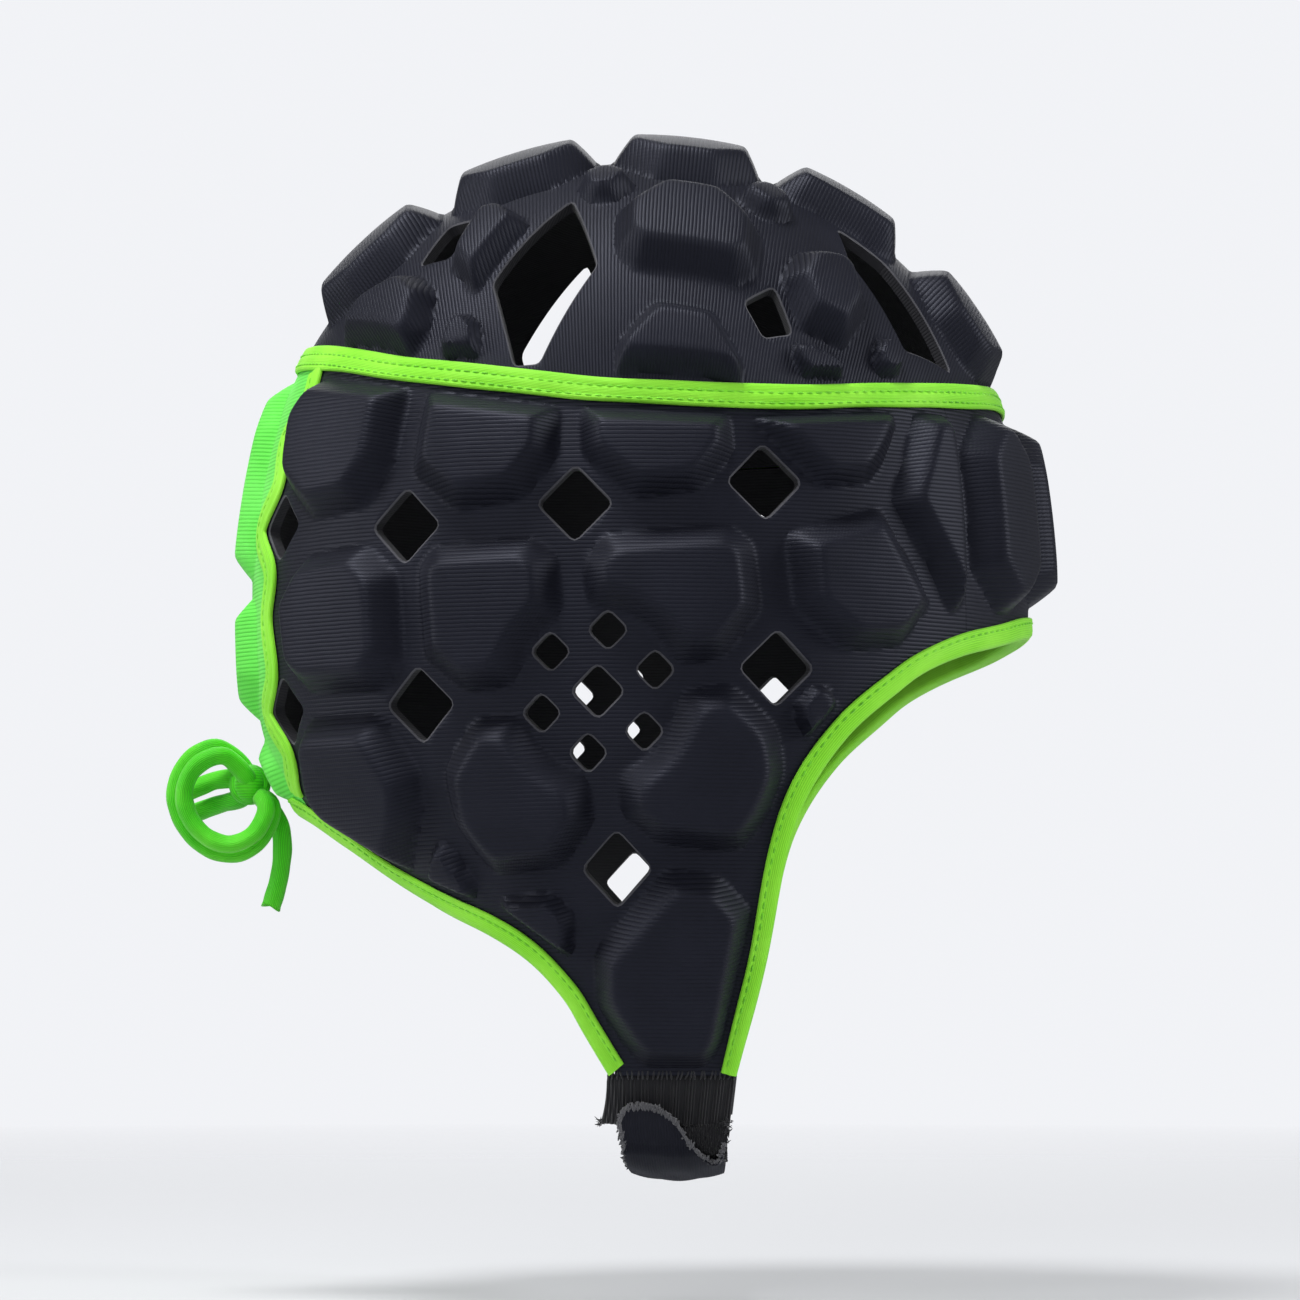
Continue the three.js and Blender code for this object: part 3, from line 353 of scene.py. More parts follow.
def nearest_face(corners, at):
    """The side of a vent that faces a place most: its distance and the way out."""
    centre, best = corners.mean(axis=0), (-1, None)
    for p, q in zip(corners, np.roll(corners, -1, axis=0)):
        out = unit(np.array([q[1] - p[1], p[0] - q[0]]))
        out = -out if out @ (p - centre) < 0 else out
        if out @ (at - p) > best[0]:
            best = (out @ (at - p), out)
    return best


def pad_walls(pad, pads, vents, lines, valley):
    """What limits a pad: its own sides, its neighbours, the vents and the edges."""
    walls = []
    wide, tall = pad["wide"], pad["tall"]
    for k in range(8):
        angle = k * math.pi / 4 + pad["turn"]
        size = (wide, (wide + tall) / 2, tall, (wide + tall) / 2)[k % 4]
        walls.append((math.cos(angle), math.sin(angle), size + math.sin(angle) * pad["lift"]))
    for other in pads:
        if other is pad:
            continue
        to = other["at"] - pad["at"]
        distance = np.linalg.norm(to)
        to = to / distance
        mine, theirs = reach_of(pad, to), reach_of(other, to)
        walls.append((*to, distance * mine / (mine + theirs) - valley / 2))
    for corners in vents:
        distance, out = nearest_face(corners, pad["at"])
        if distance > 0:
            walls.append((*-out, distance - VENT_MARGIN))
    for line, margin in lines:
        to = line - pad["at"]
        near = to[np.argmin(np.linalg.norm(to, axis=1))]
        walls.append((*unit(near), np.linalg.norm(near) - margin))
    return np.array(walls)


print("pads in a side panel:", len(SIDE_PADS), "in the crown:", len(crown_rows()))

# %% [markdown]
# Soft foam has no hard corners. The depth of a place inside a pad is a soft
# minimum over its walls, so the corners come out rounded, and the pad's height
# follows from that depth: a creased foot, an even slope, a soft shoulder and a
# top that is nearly flat. A narrow pad has a narrower slope and is a bit lower.
# %% Pad shape
CORNER_SOFTNESS, SCOOP_SOFTNESS = 0.6 * MM, 1.6 * MM
SLOPE, SHOULDER, TOP_CROWN = 6.2 * MM, 0.72, 0.12
SLOPE_SHARE, LOWEST_SHARE = 0.52, 0.3
PAD_FLATNESS = 0.51


def soft_minimum(values, softness):
    lowest = values.min(axis=0)
    return lowest - softness * np.log(np.exp(-(values - lowest) / softness).sum(axis=0))


def pad_height(depth, rise, slope):
    """The height over the wall at a depth inside a pad."""
    climb = np.clip(depth / slope, 0, 1)
    bend = 1 + SHOULDER - (1 - climb) ** 2 / (1 - SHOULDER)
    soft = np.where(climb < SHOULDER, 2 * climb, bend) / (1 + SHOULDER)
    belly = 1 - np.exp(-np.maximum(depth, 0) / (2 * SLOPE))
    return rise * ((1 - TOP_CROWN) * soft + TOP_CROWN * belly)


def valley_of(form, pad):
    """The valleys round a pad are narrow on the crown and over the brow."""
    return NARROW_VALLEY if form is CROWN or pad["at"][0] < BROW_END else VALLEY


def pad_field(form, pattern, pads, vents, lines, rise, scoop):
    """Each place's height over the wall, and the pad that it belongs to."""
    height = np.zeros(len(pattern))
    owner = np.full(len(pattern), -1)
    for index, pad in enumerate(pads):
        near = np.where(np.linalg.norm(pattern - pad["at"], axis=1) < 1.5 * PITCH)[0]
        walls = pad_walls(pad, pads, vents, lines, valley_of(form, pad))
        depth = soft_minimum(walls[:, 2:3] - walls[:, :2] @ (pattern[near] - pad["at"]).T, CORNER_SOFTNESS)
        if scoop is not None:
            hollow = np.linalg.norm(pattern[near] - scoop[0], axis=1) - scoop[1]
            depth = soft_minimum(np.stack([depth, hollow]), SCOOP_SOFTNESS)
        slope = min(SLOPE, SLOPE_SHARE * depth.max())
        raise_to = pad_height(depth, rise * (LOWEST_SHARE + (1 - LOWEST_SHARE) * slope / SLOPE), slope)
        higher = raise_to > height[near]
        owner[near[higher]] = index
        height[near[higher]] = raise_to[higher]
    return height, owner


def laid_on_head(form, pattern, height, owner, pads, rise):
    """Points of the outer face. Pads stay partly flat where the head curves."""
    point, _, _, out = frame_at(form, pattern)
    followed = point + out * (WALL + height)[:, None]
    for index, pad in enumerate(pads):
        mine = owner == index
        if not mine.any():
            continue
        middle, along_a, along_b, up = (v[0] for v in frame_at(form, pad["at"][None]))
        off = pattern[mine] - pad["at"]
        level = middle + off[:, :1] * along_a + off[:, 1:] * along_b + up * (WALL + height[mine])[:, None]
        share = (PAD_FLATNESS * np.clip(height[mine] / rise, 0, 1))[:, None]
        followed[mine] = followed[mine] * (1 - share) + level * share
    return followed


print("pads rise, mm:", round(SIDE_RISE / MM, 1), "with slopes", round(SLOPE / MM, 1), "wide")

# %% [markdown]
# A panel is cut as a tailor would: its outline and its vents are closed lines on
# the flat pattern, and fine points fill what is left. Blender joins them into
# triangles that keep every cut. The outer face rises with the pads, the inner
# face stays smooth, and strips along the cuts close the wall between them.
# %% Panel maker
FINE, COARSE = 1.15 * MM, 3.2 * MM
ROW_SHARE, CLEARANCE = 0.866, 0.62
RIM_SLOPE, RIM_DROP = 0.45 * MM, 0.35 * MM
VENT_ROUND, ROUND_STEPS = 1.8 * MM, 4
UV_UNIT = 10 * MM
PANEL_CREASE, TRIM_CREASE = math.radians(38), math.radians(60)


def closed_loop(points, step):
    """A closed line as evenly spaced points, counter-clockwise."""
    x, y = points.T
    if (x * np.roll(y, -1) - y * np.roll(x, -1)).sum() < 0:
        points = points[::-1]
    ring = np.vstack([points, points[:1]])
    return resampled(ring, max(8, round(length_of(ring) / step)))[:-1]


def rounded(corners):
    """A vent's polygon with round corners."""
    points = []
    for p, at, q in zip(np.roll(corners, 1, axis=0), corners, np.roll(corners, -1, axis=0)):
        reach = min(VENT_ROUND, 0.3 * np.linalg.norm(p - at), 0.3 * np.linalg.norm(q - at))
        back, ahead = at + unit(p - at) * reach, at + unit(q - at) * reach
        for t in np.linspace(0, 1, ROUND_STEPS + 1):
            points.append((1 - t) ** 2 * back + 2 * t * (1 - t) * at + t ** 2 * ahead)
    return np.array(points)


def inside(polygon, points):
    """Which points lie inside a polygon."""
    x, y = points[:, 0], points[:, 1]
    result = np.zeros(len(points), bool)
    for (x0, y0), (x1, y1) in zip(polygon, np.roll(polygon, -1, axis=0)):
        crosses = (y0 > y) != (y1 > y)
        if crosses.any():
            result ^= crosses & (x < (x1 - x0) * (y - y0) / (y1 - y0 or 1e-12) + x0)
    return result


def between(loops, points):
    """Which points lie inside the first loop and outside the others."""
    keep = inside(loops[0], points)
    for loop in loops[1:]:
        keep &= ~inside(loop, points)
    return keep


def clear_of(points, loop, distance):
    """Which points keep a distance from a loop's points."""
    keep = np.ones(len(points), bool)
    low, high = loop.min(axis=0) - distance, loop.max(axis=0) + distance
    near = np.where(((points > low) & (points < high)).all(axis=1))[0]
    for part in np.array_split(near, len(near) // 4000 + 1):
        gaps = np.linalg.norm(points[part][:, None] - loop[None], axis=2).min(axis=1)
        keep[part[gaps < distance]] = False
    return keep


def filling(loops, rings, step):
    """Points in rows that fill a panel between its loops."""
    low, high = loops[0].min(axis=0), loops[0].max(axis=0)
    xs, ys = np.arange(low[0], high[0], step), np.arange(low[1], high[1], step * ROW_SHARE)
    grid = np.array([(x + (j % 2) * step / 2, y) for j, y in enumerate(ys) for x in xs])
    grid = grid[between(loops, grid)]
    for loop in loops + rings:
        grid = grid[clear_of(grid, loop, step * CLEARANCE)]
    return grid


def edges_of(loops):
    """The numbers of the points at both ends of each edge of closed loops."""
    edges, start = [], 0
    for loop in loops:
        count = len(loop)
        edges += [(start + i, start + (i + 1) % count) for i in range(count)]
        start += count
    return edges


def triangles_of(loops, rings, fill):
    """Triangles over the pattern that keep the loops as cuts."""
    points = np.vstack(loops + rings + [fill])
    scaled = [Vector(p / MM) for p in points]
    made, _, faces, _, _, _ = geometry.delaunay_2d_cdt(scaled, edges_of(loops + rings), [], 0, 1e-7, True)
    assert len(made) == len(points), "the pattern's lines cross"
    faces = np.array([f for f in faces if len(f) == 3])
    return points, faces[between(loops, points[faces].mean(axis=1))]


def mesh_piece(name, points, faces, uv, materials, marks=None):
    """A mesh object that faces outwards. Its UV map is its place on the pattern, its marks are materials."""
    mesh = bpy.data.meshes.new(name)
    mesh.from_pydata([tuple(p) for p in points], [], [tuple(int(i) for i in f) for f in faces])
    mesh.update()
    layer = mesh.uv_layers.new(name="pattern")
    corner = np.empty(len(mesh.loops), np.int32)
    mesh.loops.foreach_get("vertex_index", corner)
    layer.data.foreach_set("uv", np.asarray(uv / UV_UNIT, np.float32)[corner].ravel())
    for material in materials:
        mesh.materials.append(material)
    if marks is not None:
        mesh.polygons.foreach_set("material_index", np.asarray(marks, np.int32))
    mesh.polygons.foreach_set("use_smooth", np.ones(len(mesh.polygons), bool))
    shape = bmesh.new()
    shape.from_mesh(mesh)
    bmesh.ops.recalc_face_normals(shape, faces=shape.faces)
    shape.to_mesh(mesh)
    shape.free()
    obj = bpy.data.objects.new(name, mesh)
    bpy.context.scene.collection.objects.link(obj)
    return obj


def crease(obj, angle):
    """Shades one object smooth but for its sharp edges."""
    bpy.ops.object.select_all(action="DESELECT")
    obj.select_set(True)
    bpy.context.view_layer.objects.active = obj
    bpy.ops.object.shade_smooth_by_angle(angle=angle)


def panel(name, form, outline, vents, pads, lines, rise, materials, scoop=None, small_vents=()):
    """A panel: knit outside, lining inside, and cut edges at the vents. Small vents don't limit the pads."""
    holes = [closed_loop(rounded(v), FINE) for v in [*vents, *small_vents]]
    loops = [closed_loop(outline, FINE)] + holes
    rings = [moved_aside(np.vstack([h[-1:], h, h[:1]]), -RIM_SLOPE)[1:-1] for h in holes]
    points, outer = triangles_of(loops, rings, filling(loops, rings, FINE))
    rim = sum(len(loop) for loop in loops)
    outline_count = len(loops[0])
    height, owner = pad_field(form, points, pads, vents, lines, rise, scoop)
    height[outline_count:rim] -= RIM_DROP
    top = laid_on_head(form, points, height, owner, pads, rise)
    low_points, inner = triangles_of(loops, [], filling(loops, [], COARSE))
    under = raised(form, low_points, np.zeros(len(low_points)))
    shift = len(top)
    walls = [(p, q, shift + q, shift + p) for p, q in edges_of(loops)]
    is_rim = np.arange(len(points)) < rim + sum(len(r) for r in rings)
    is_rim[:outline_count] = False
    cut = is_rim[outer].all(axis=1)
    faces = [*outer.tolist(), *(inner + shift)[:, ::-1].tolist(), *walls]
    marks = np.r_[np.where(cut, 2, 0), np.full(len(inner), 1), np.full(len(walls), 3)]
    obj = mesh_piece(name, np.vstack([top, under]), faces, np.vstack([points, low_points]), materials, marks)
    raised_share = np.r_[np.clip(height / rise, 0, 1), np.zeros(len(under))]
    obj.data.attributes.new("padding", "FLOAT", "POINT").data.foreach_set("value", raised_share)
    crease(obj, PANEL_CREASE)
    print(name, "triangles:", len(outer) + len(inner) + 2 * len(walls))
    return obj


print("points in a pattern, mm apart:", round(FINE / MM, 2))

# %% [markdown]
# The finishes are node materials. Two effects are shared: the ribs of the knit,
# which run along the flat pattern so that they climb each pad as the cloth does,
# and a fine cloudiness that keeps any colour from being flat.
# %% Shared effects
def new_group(name, inputs, outputs):
    """A shader node group with the input Place, number inputs and number outputs."""
    group = bpy.data.node_groups.new(name, "ShaderNodeTree")
    group.interface.new_socket(name="Place", in_out="INPUT", socket_type="NodeSocketVector")
    for label, value in inputs.items():
        socket = group.interface.new_socket(name=label, in_out="INPUT", socket_type="NodeSocketFloat")
        socket.default_value = value
    for label in outputs:
        group.interface.new_socket(name=label, in_out="OUTPUT", socket_type="NodeSocketFloat")
    return group, group.nodes.new("NodeGroupInput").outputs, group.nodes.new("NodeGroupOutput").inputs


def new_node(tree, kind, values=None):
    """A node with some of its inputs set by name."""
    node = tree.nodes.new("ShaderNode" + kind)
    fill_in(node, values or {})
    return node


def fill_in(node, values):
    for label, value in values.items():
        node.inputs[label].default_value = value


def link(tree, source, target):
    tree.links.new(source, target)


def calculated(tree, operation, *values):
    """A Math node whose inputs are sockets or numbers."""
    node = new_node(tree, "Math")
    node.operation = operation
    for socket, value in zip(node.inputs, values):
        if isinstance(value, (int, float)):
            socket.default_value = value
        else:
            link(tree, value, socket)
    return node.outputs[0]


def rib_group():
    """Ridges across one direction of the pattern, with small stitches along them."""
    numbers = {"Ribs": 9.6, "Stitches": 14.0, "Wobble": 0.03}
    group, start, end = new_group("knit ribs", numbers, ["Ridge", "Height"])

    def wave(phase):
        return calculated(group, "ABSOLUTE", calculated(group, "SINE", phase))

    def times(first, second):
        return calculated(group, "MULTIPLY", first, second)

    def plus(first, second):
        return calculated(group, "ADD", first, second)

    noise = new_node(group, "TexNoise", {"Scale": 1.3, "Detail": 2})
    link(group, start["Place"], noise.inputs["Vector"])
    split = new_node(group, "SeparateXYZ")
    link(group, start["Place"], split.inputs[0])
    across = plus(split.outputs["Y"], times(noise.outputs["Fac"], start["Wobble"]))
    phase = times(times(across, start["Ribs"]), math.pi)
    ridge = calculated(group, "POWER", wave(phase), 0.8)
    along = times(times(split.outputs["X"], start["Stitches"]), math.pi)
    link(group, ridge, end["Ridge"])
    link(group, times(ridge, plus(times(wave(plus(along, phase)), 0.22), 0.78)), end["Height"])
    return group


def cloud_group():
    """A soft cloudiness and a fine grain, both from 0 to 1."""
    group, start, end = new_group("cloth cloudiness", {"Clouds": 60.0, "Grain": 900.0}, ["Cloud", "Grain"])
    for scale, result in (("Clouds", "Cloud"), ("Grain", "Grain")):
        noise = new_node(group, "TexNoise", {"Detail": 4})
        link(group, start["Place"], noise.inputs["Vector"])
        link(group, start[scale], noise.inputs["Scale"])
        link(group, noise.outputs["Fac"], end[result])
    return group


KNIT_RIBS, CLOTH_CLOUDS = rib_group(), cloud_group()
print("groups:", KNIT_RIBS.name, "and", CLOTH_CLOUDS.name)

# %% [markdown]
# Each cloth is a Principled shader with its own colours, ribs and sheen. Colours
# are mixed from a dark groove colour, painted shade in the ribs' grooves, to a
# lighter ridge colour, painted light on their crests, so the ribs are seen even
# where the light is flat, and a small bump catches the light along them.
# %% Cloth finishes
def effect(tree, group, place, values):
    """A shared effect, placed in a material."""
    node = tree.nodes.new("ShaderNodeGroup")
    node.node_tree = group
    fill_in(node, values)
    link(tree, place, node.inputs["Place"])
    return node.outputs


def mixed(tree, share, first, second):
    """A colour between two, by a share."""
    node = new_node(tree, "Mix")
    node.data_type = "RGBA"
    link(tree, share, node.inputs["Factor"])
    for socket, value in ((node.inputs[6], first), (node.inputs[7], second)):
        if isinstance(value, tuple):
            socket.default_value = (*value, 1)
        else:
            link(tree, value, socket)
    return node.outputs[2]


def cloth(name, painted_groove_shade, ridge, worn, ribs, stitches, relief, sheen, roughness=0.7, tint=(1, 1, 1),
          turned=False, drawn_on="UV", grain=0.00003):
    """A knit or woven cloth, its colours first (painted shade for the grooves, painted light for the ridges,
    then a worn colour), then its ribs and stitches per centimetre.
    """
    material = bpy.data.materials.new(name)
    material.use_nodes = True
    tree = material.node_tree
    shader = tree.nodes["Principled BSDF"]
    fill_in(shader, {"Roughness": roughness, "Sheen Weight": sheen, "Sheen Roughness": 0.45,
                     "Sheen Tint": (*tint, 1), "Specular IOR Level": 0.35, "Specular Tint": (*tint, 1)})
    places = new_node(tree, "TexCoord").outputs
    mapping = new_node(tree, "Mapping", {"Rotation": (0, 0, math.pi / 2 if turned else 0)})
    link(tree, places[drawn_on], mapping.inputs["Vector"])
    rib = effect(tree, KNIT_RIBS, mapping.outputs[0], {"Ribs": ribs, "Stitches": stitches})
    cloud = effect(tree, CLOTH_CLOUDS, places["Object"], {})
    shade = new_node(tree, "MapRange", {"From Min": 0.42, "From Max": 0.75})
    link(tree, cloud["Cloud"], shade.inputs["Value"])
    # The base colour is painted shade in the rib grooves and painted light on the rib crests, with the worn
    # colour mixed in at random.
    colour = mixed(tree, shade.outputs["Result"], mixed(tree, rib["Ridge"], painted_groove_shade, ridge), worn)
    link(tree, colour, shader.inputs["Base Color"])
    bump = new_node(tree, "Bump", {"Distance": relief, "Strength": 1})
    rough = calculated(tree, "MULTIPLY", cloud["Grain"], grain / relief)
    link(tree, calculated(tree, "ADD", rib["Height"], rough), bump.inputs["Height"])
    link(tree, bump.outputs["Normal"], shader.inputs["Normal"])
    return material


NAVY = (0.55, 0.58, 0.75)
# A look: painted groove shade, painted ridge light, worn colour, ribs and stitches per centimetre, relief,
# sheen, roughness and tint.
KNIT_LOOK = ((0.0022, 0.0024, 0.0042), (0.0072, 0.0076, 0.0130), (0.0085, 0.009, 0.0150),
             9.6, 14, 0.00011, 0.03, 0.5, NAVY)
SIDE_KNIT = cloth("ribbed knit", *KNIT_LOOK)
CROWN_KNIT = cloth("ribbed crown knit", *KNIT_LOOK, turned=True)
LINING = cloth("black lining", (0.003, 0.003, 0.004), (0.009, 0.009, 0.012), (0.010, 0.010, 0.013),
               12, 12, 0.00008, 0.1, 0.85)
CUT_EDGE = cloth("cut knit edge", (0.020, 0.020, 0.024), (0.085, 0.085, 0.10), (0.10, 0.10, 0.115),
                 30, 30, 0.0001, 0.2, 0.9)
FOAM = cloth("cut foam", (0.006, 0.006, 0.008), (0.020, 0.020, 0.025), (0.026, 0.026, 0.031),
             26, 26, 0.0001, 0.1, 0.95)
GREEN_KNIT = cloth("green knit", (0.06, 0.58, 0.03), (0.15, 0.84, 0.09), (0.18, 0.90, 0.12),
                   9.6, 14, 0.00012, 0.2, 0.6, (0.8, 1, 0.7))
GREEN_TAPE = cloth("green tape", (0.17, 0.66, 0.015), (0.31, 0.92, 0.04), (0.36, 0.96, 0.06),
                   22, 22, 0.00005, 0.2, 0.55, (0.8, 1, 0.6))
GREEN_THREAD = cloth("green thread", (0.10, 0.48, 0.012), (0.23, 0.76, 0.035), (0.28, 0.82, 0.055),
                     40, 40, 0.00004, 0.3, 0.5, (0.9, 1, 0.7), drawn_on="Object")
ELASTIC_WEB = cloth("ribbed elastic", (0.002, 0.002, 0.003), (0.010, 0.010, 0.013), (0.013, 0.013, 0.016),
                    11, 16, 0.0002, 0.25, 0.7, turned=True)
STRAP_WEB = cloth("strap cloth", (0.0030, 0.0031, 0.0046), (0.0080, 0.0083, 0.0125), (0.0100, 0.0104, 0.015),
                  14, 14, 0.00012, 0.06, 0.75, NAVY)
FLEECE = cloth("fleece", (0.006, 0.006, 0.008), (0.009, 0.009, 0.012), (0.022, 0.022, 0.027),
               17, 23, 0.0004, 0.15, 0.95, grain=0.0004)
BLACK_THREAD = cloth("black thread", (0.004, 0.004, 0.005), (0.020, 0.020, 0.024), (0.025, 0.025, 0.03),
                     40, 40, 0.00004, 0.3, 0.6, drawn_on="Object")
LACE_KNIT = cloth("lace knit", (0.014, 0.36, 0.005), (0.09, 0.76, 0.018), (0.15, 0.84, 0.035),
                  20, 20, 0.00009, 0.3, 0.55, (0.8, 1, 0.6))
print("materials:", len(bpy.data.materials))

# %% [markdown]
# Five panels make the cap's body. First the side's edges are drawn, with its
# vents and the lines that its pads keep clear of. The two sides are alike and
# mirrored. The small vents over the ear are cut within a round scoop.
# %% Side panels
SEAM_GUESS = -60 * MM
MEETING_STEPS = 20


def seam_side(line, gap):
    """A seam's cut edge, as the way round at each height."""
    return lambda heights: read_line(line, 1, heights) + gap


brow_side, front_edge = seam_side(brow_cut, BROW_GAP / 2), seam_side(brow_cut, -BROW_GAP / 2)
wave_side, rear_edge = seam_side(rear_cut, -WAVE_GAP / 2), seam_side(rear_cut, WAVE_GAP / 2)


def side_front(heights):
    return np.where(heights > FACE_CORNER, brow_side(heights), read_line(face_cut, 1, heights))


def side_rear(heights):
    return np.where(heights > NECK_CORNER, wave_side(heights), read_line(neck_cut, 1, heights))


def meets(edge, level, height):
    """The height at which an upright edge meets a level line, from a first guess."""
    for _ in range(MEETING_STEPS):
        height = float(level(edge(np.array([height])))[0])
    return height


def under_seam(ways):
    return seam_height(ways) - SEAM_GAP / 2


def seam_line(low, high):
    ways = np.linspace(low, high, 300)
    return pair(ways, seam_height(ways))


def side_outline():
    """Up the rear edge, forward under the crown's seam and down the front edge."""
    rear_top, front_top = (meets(edge, under_seam, SEAM_GUESS) for edge in (side_rear, side_front))
    up, down = np.linspace(FLAP_END, rear_top, 600), np.linspace(front_top, FLAP_END, 600)
    seam = np.linspace(side_rear(up[-1:])[0], side_front(down[:1])[0], 200)[1:-1]
    return np.vstack([pair(side_rear(up), up), pair(seam, under_seam(seam)), pair(side_front(down), down)])


def ear_vents():
    vents = [diamond(ear, EAR_HALF * PITCH)]
    for k in range(EAR_COUNT):
        turn = math.radians(90 + EAR_START + k * 360 / EAR_COUNT)
        spot = ear + EAR_RING * PITCH * np.array([math.cos(turn), math.sin(turn)])
        vents.append(diamond(spot, EAR_RING_HALF * PITCH))
    return vents


flap_line = np.array([[s, FLAP_END] for s in np.linspace(0, HALF_GIRTH, 200)])
side_vents = [diamond(flat(r, h), half * PITCH) for r, h, half in SIDE_VENTS]
side_lines = [(seam_line(0, HALF_GIRTH), TAPE_MARGIN), (rear_cut, TAPE_MARGIN), (brow_cut, BROW_MARGIN),
              (face_edge, BIND_MARGIN), (neck_edge, BIND_MARGIN), (flap_line, FLAP_MARGIN)]
side = (side_outline(), side_vents, side_rows(SIDE_PADS), side_lines, SIDE_RISE, SIDE_KNIT, "knit",
        (ear, EAR_SCOOP * PITCH), ear_vents())
print("vents in a side panel:", len(side_vents) + len(side[-1]))

# %% [markdown]
# The brow panel closes the front and the green panel closes the back. Each is
# alike on both sides of its middle. The crown is one oval piece. Then all five are
# made. Their pads and ribs belong to their own cloth, as the foam is moulded in.
# %% All five panels
def over_neck(ways):
    return read_line(neck_cut, 0, ways)


def mirrored_outline(edge, about, low, foot, edge_pieces, foot_pieces):
    """Up one edge, under the crown's seam, down the mirrored edge and back along the foot."""
    up = np.linspace(low, meets(edge, under_seam, SEAM_GUESS), edge_pieces)
    across = np.linspace(edge(up[-1:])[0], 2 * about - edge(up[-1:])[0], 200)[1:-1]
    back = np.linspace(2 * about - edge(up[:1])[0], edge(up[:1])[0], foot_pieces)[1:-1]
    return np.vstack([
        pair(edge(up), up),
        pair(across, under_seam(across)),
        pair(2 * about - edge(up[::-1]), up[::-1]),
        pair(back, foot(about - np.abs(back - about) if about else np.abs(back))),
    ])


def crown_ring(gap):
    angle = np.linspace(0, 2 * np.pi, 400, endpoint=False)
    share = seam_tilt(angle) - gap / ARC_ASIDE
    return pair(share * np.cos(angle) * ARC_AHEAD, share * np.sin(angle) * ARC_ASIDE)


def over_face(ways):
    return read_line(face_cut, 0, ways)


front_outline = mirrored_outline(front_edge, 0, FACE_CORNER, over_face, 200, 300)
rear_foot = meets(rear_edge, over_neck, NECK_CORNER)
rear_outline = mirrored_outline(rear_edge, HALF_GIRTH, rear_foot, over_neck, 300, 200)
front_lines = [(seam_line(-0.25 * HALF_GIRTH, 0.25 * HALF_GIRTH), TAPE_MARGIN), (brow_cut, BROW_MARGIN),
               (mirrored_line(brow_cut), BROW_MARGIN), (face_edge, BIND_MARGIN),
               (mirrored_line(face_edge), BIND_MARGIN)]
rear_lines = [(seam_line(0.8 * HALF_GIRTH, 1.2 * HALF_GIRTH), TAPE_MARGIN), (rear_cut, TAPE_MARGIN),
              (mirrored_line(rear_cut, HALF_GIRTH), TAPE_MARGIN), (neck_edge, NAPE_MARGIN)]
crown_vents = [np.array([(a * ARC_AHEAD, b * hand * ARC_ASIDE) for a, b in corners]) for hand in (1, -1)
               for corners in CROWN_VENTS]
panels = [
    ("side_panel_right", SIDE, *side), ("side_panel_left", SIDE_LEFT, *side),
    ("front_panel", SIDE, front_outline, [], side_rows(BROW_PADS), front_lines, BROW_RISE, SIDE_KNIT, "knit"),
    ("rear_panel", SIDE, rear_outline, [], side_rows(REAR_PADS), rear_lines, REAR_RISE, GREEN_KNIT,
     "green_knit"),
    ("crown", CROWN, crown_ring(SEAM_GAP / 2), crown_vents, crown_rows(), [(crown_ring(0), TAPE_MARGIN)],
     CROWN_RISE, CROWN_KNIT, "knit"),
]
for name, form, outline, vents, pads, lines, rise, look, slot, *ear_cuts in panels:
    look = [look, LINING, CUT_EDGE, FOAM]
    piece = panel(name + "_knit", form, outline, vents, pads, lines, rise, look, *ear_cuts)
    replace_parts(piece, name)
    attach(piece, "root")

# %% [markdown]
# Tapes and bindings are swept along the same edge lines as the panels' cuts. A
# binding is folded over the edge and grips it from both sides, a tape lies flat
# over its seam. Their widths breathe a little along the way, as sewn cloth does.
# %% Swept trims
BINDING = [(5.7, 3.2), (5.8, 3.6), (5.5, 4.05), (4.9, 4.2), (4.3, 3.95), (3.6, 4.25), (2.2, 4.4), (1.0, 4.2),
           (0.25, 3.7), (-0.1, 3.0), (-0.15, 1.5), (-0.1, 0.1), (0.3, -0.8), (1.2, -1.1), (4.2, -1.05),
           (5.6, -0.9), (5.7, -0.5), (5.4, -0.35), (0.9, -0.35), (0.8, 1.5), (0.9, 3.2)]
TAPE = [(-3.1, 3.3), (-3.2, 3.7), (-2.9, 4.2), (-2.3, 4.4), (-1.9, 4.2), (-1.4, 4.45), (-0.2, 4.55),
        (0.4, 4.5), (0.7, 4.3), (1.1, 4.5), (2.3, 4.5), (2.9, 4.3), (3.2, 3.75), (3.1, 3.3), (1.5, 3.2),
        (-1.5, 3.2)]
TRIM_STEP, TRIM_PIECES = 1.3 * MM, 400
WIDTH_SWING, SIDE_SWING, HEIGHT_SWING = 0.035, 0.12 * MM, 0.08 * MM


def breath(along, size, seed):
    """A slow uneven swing along a trim."""
    return size * (np.sin(along / (11 * MM) + seed) + 0.6 * np.sin(along / (4.7 * MM) + 2.3 * seed)) / 1.6


def swept(name, rings, along, material, closed=False):
    """A closed mesh through equal rings of points."""
    count, size = rings.shape[:2]
    faces = []
    for i in range(count if closed else count - 1):
        a, b = i * size, (i + 1) % count * size
        faces += [(a + j, a + (j + 1) % size, b + (j + 1) % size, b + j) for j in range(size)]
    if not closed:
        faces += [tuple(range(size - 1, -1, -1)), tuple(range((count - 1) * size, count * size))]
    uv = pair(np.repeat(along, size), np.tile(distances(rings[0]), count))
    return mesh_piece(name, rings.reshape(-1, 3), faces, uv, [material])


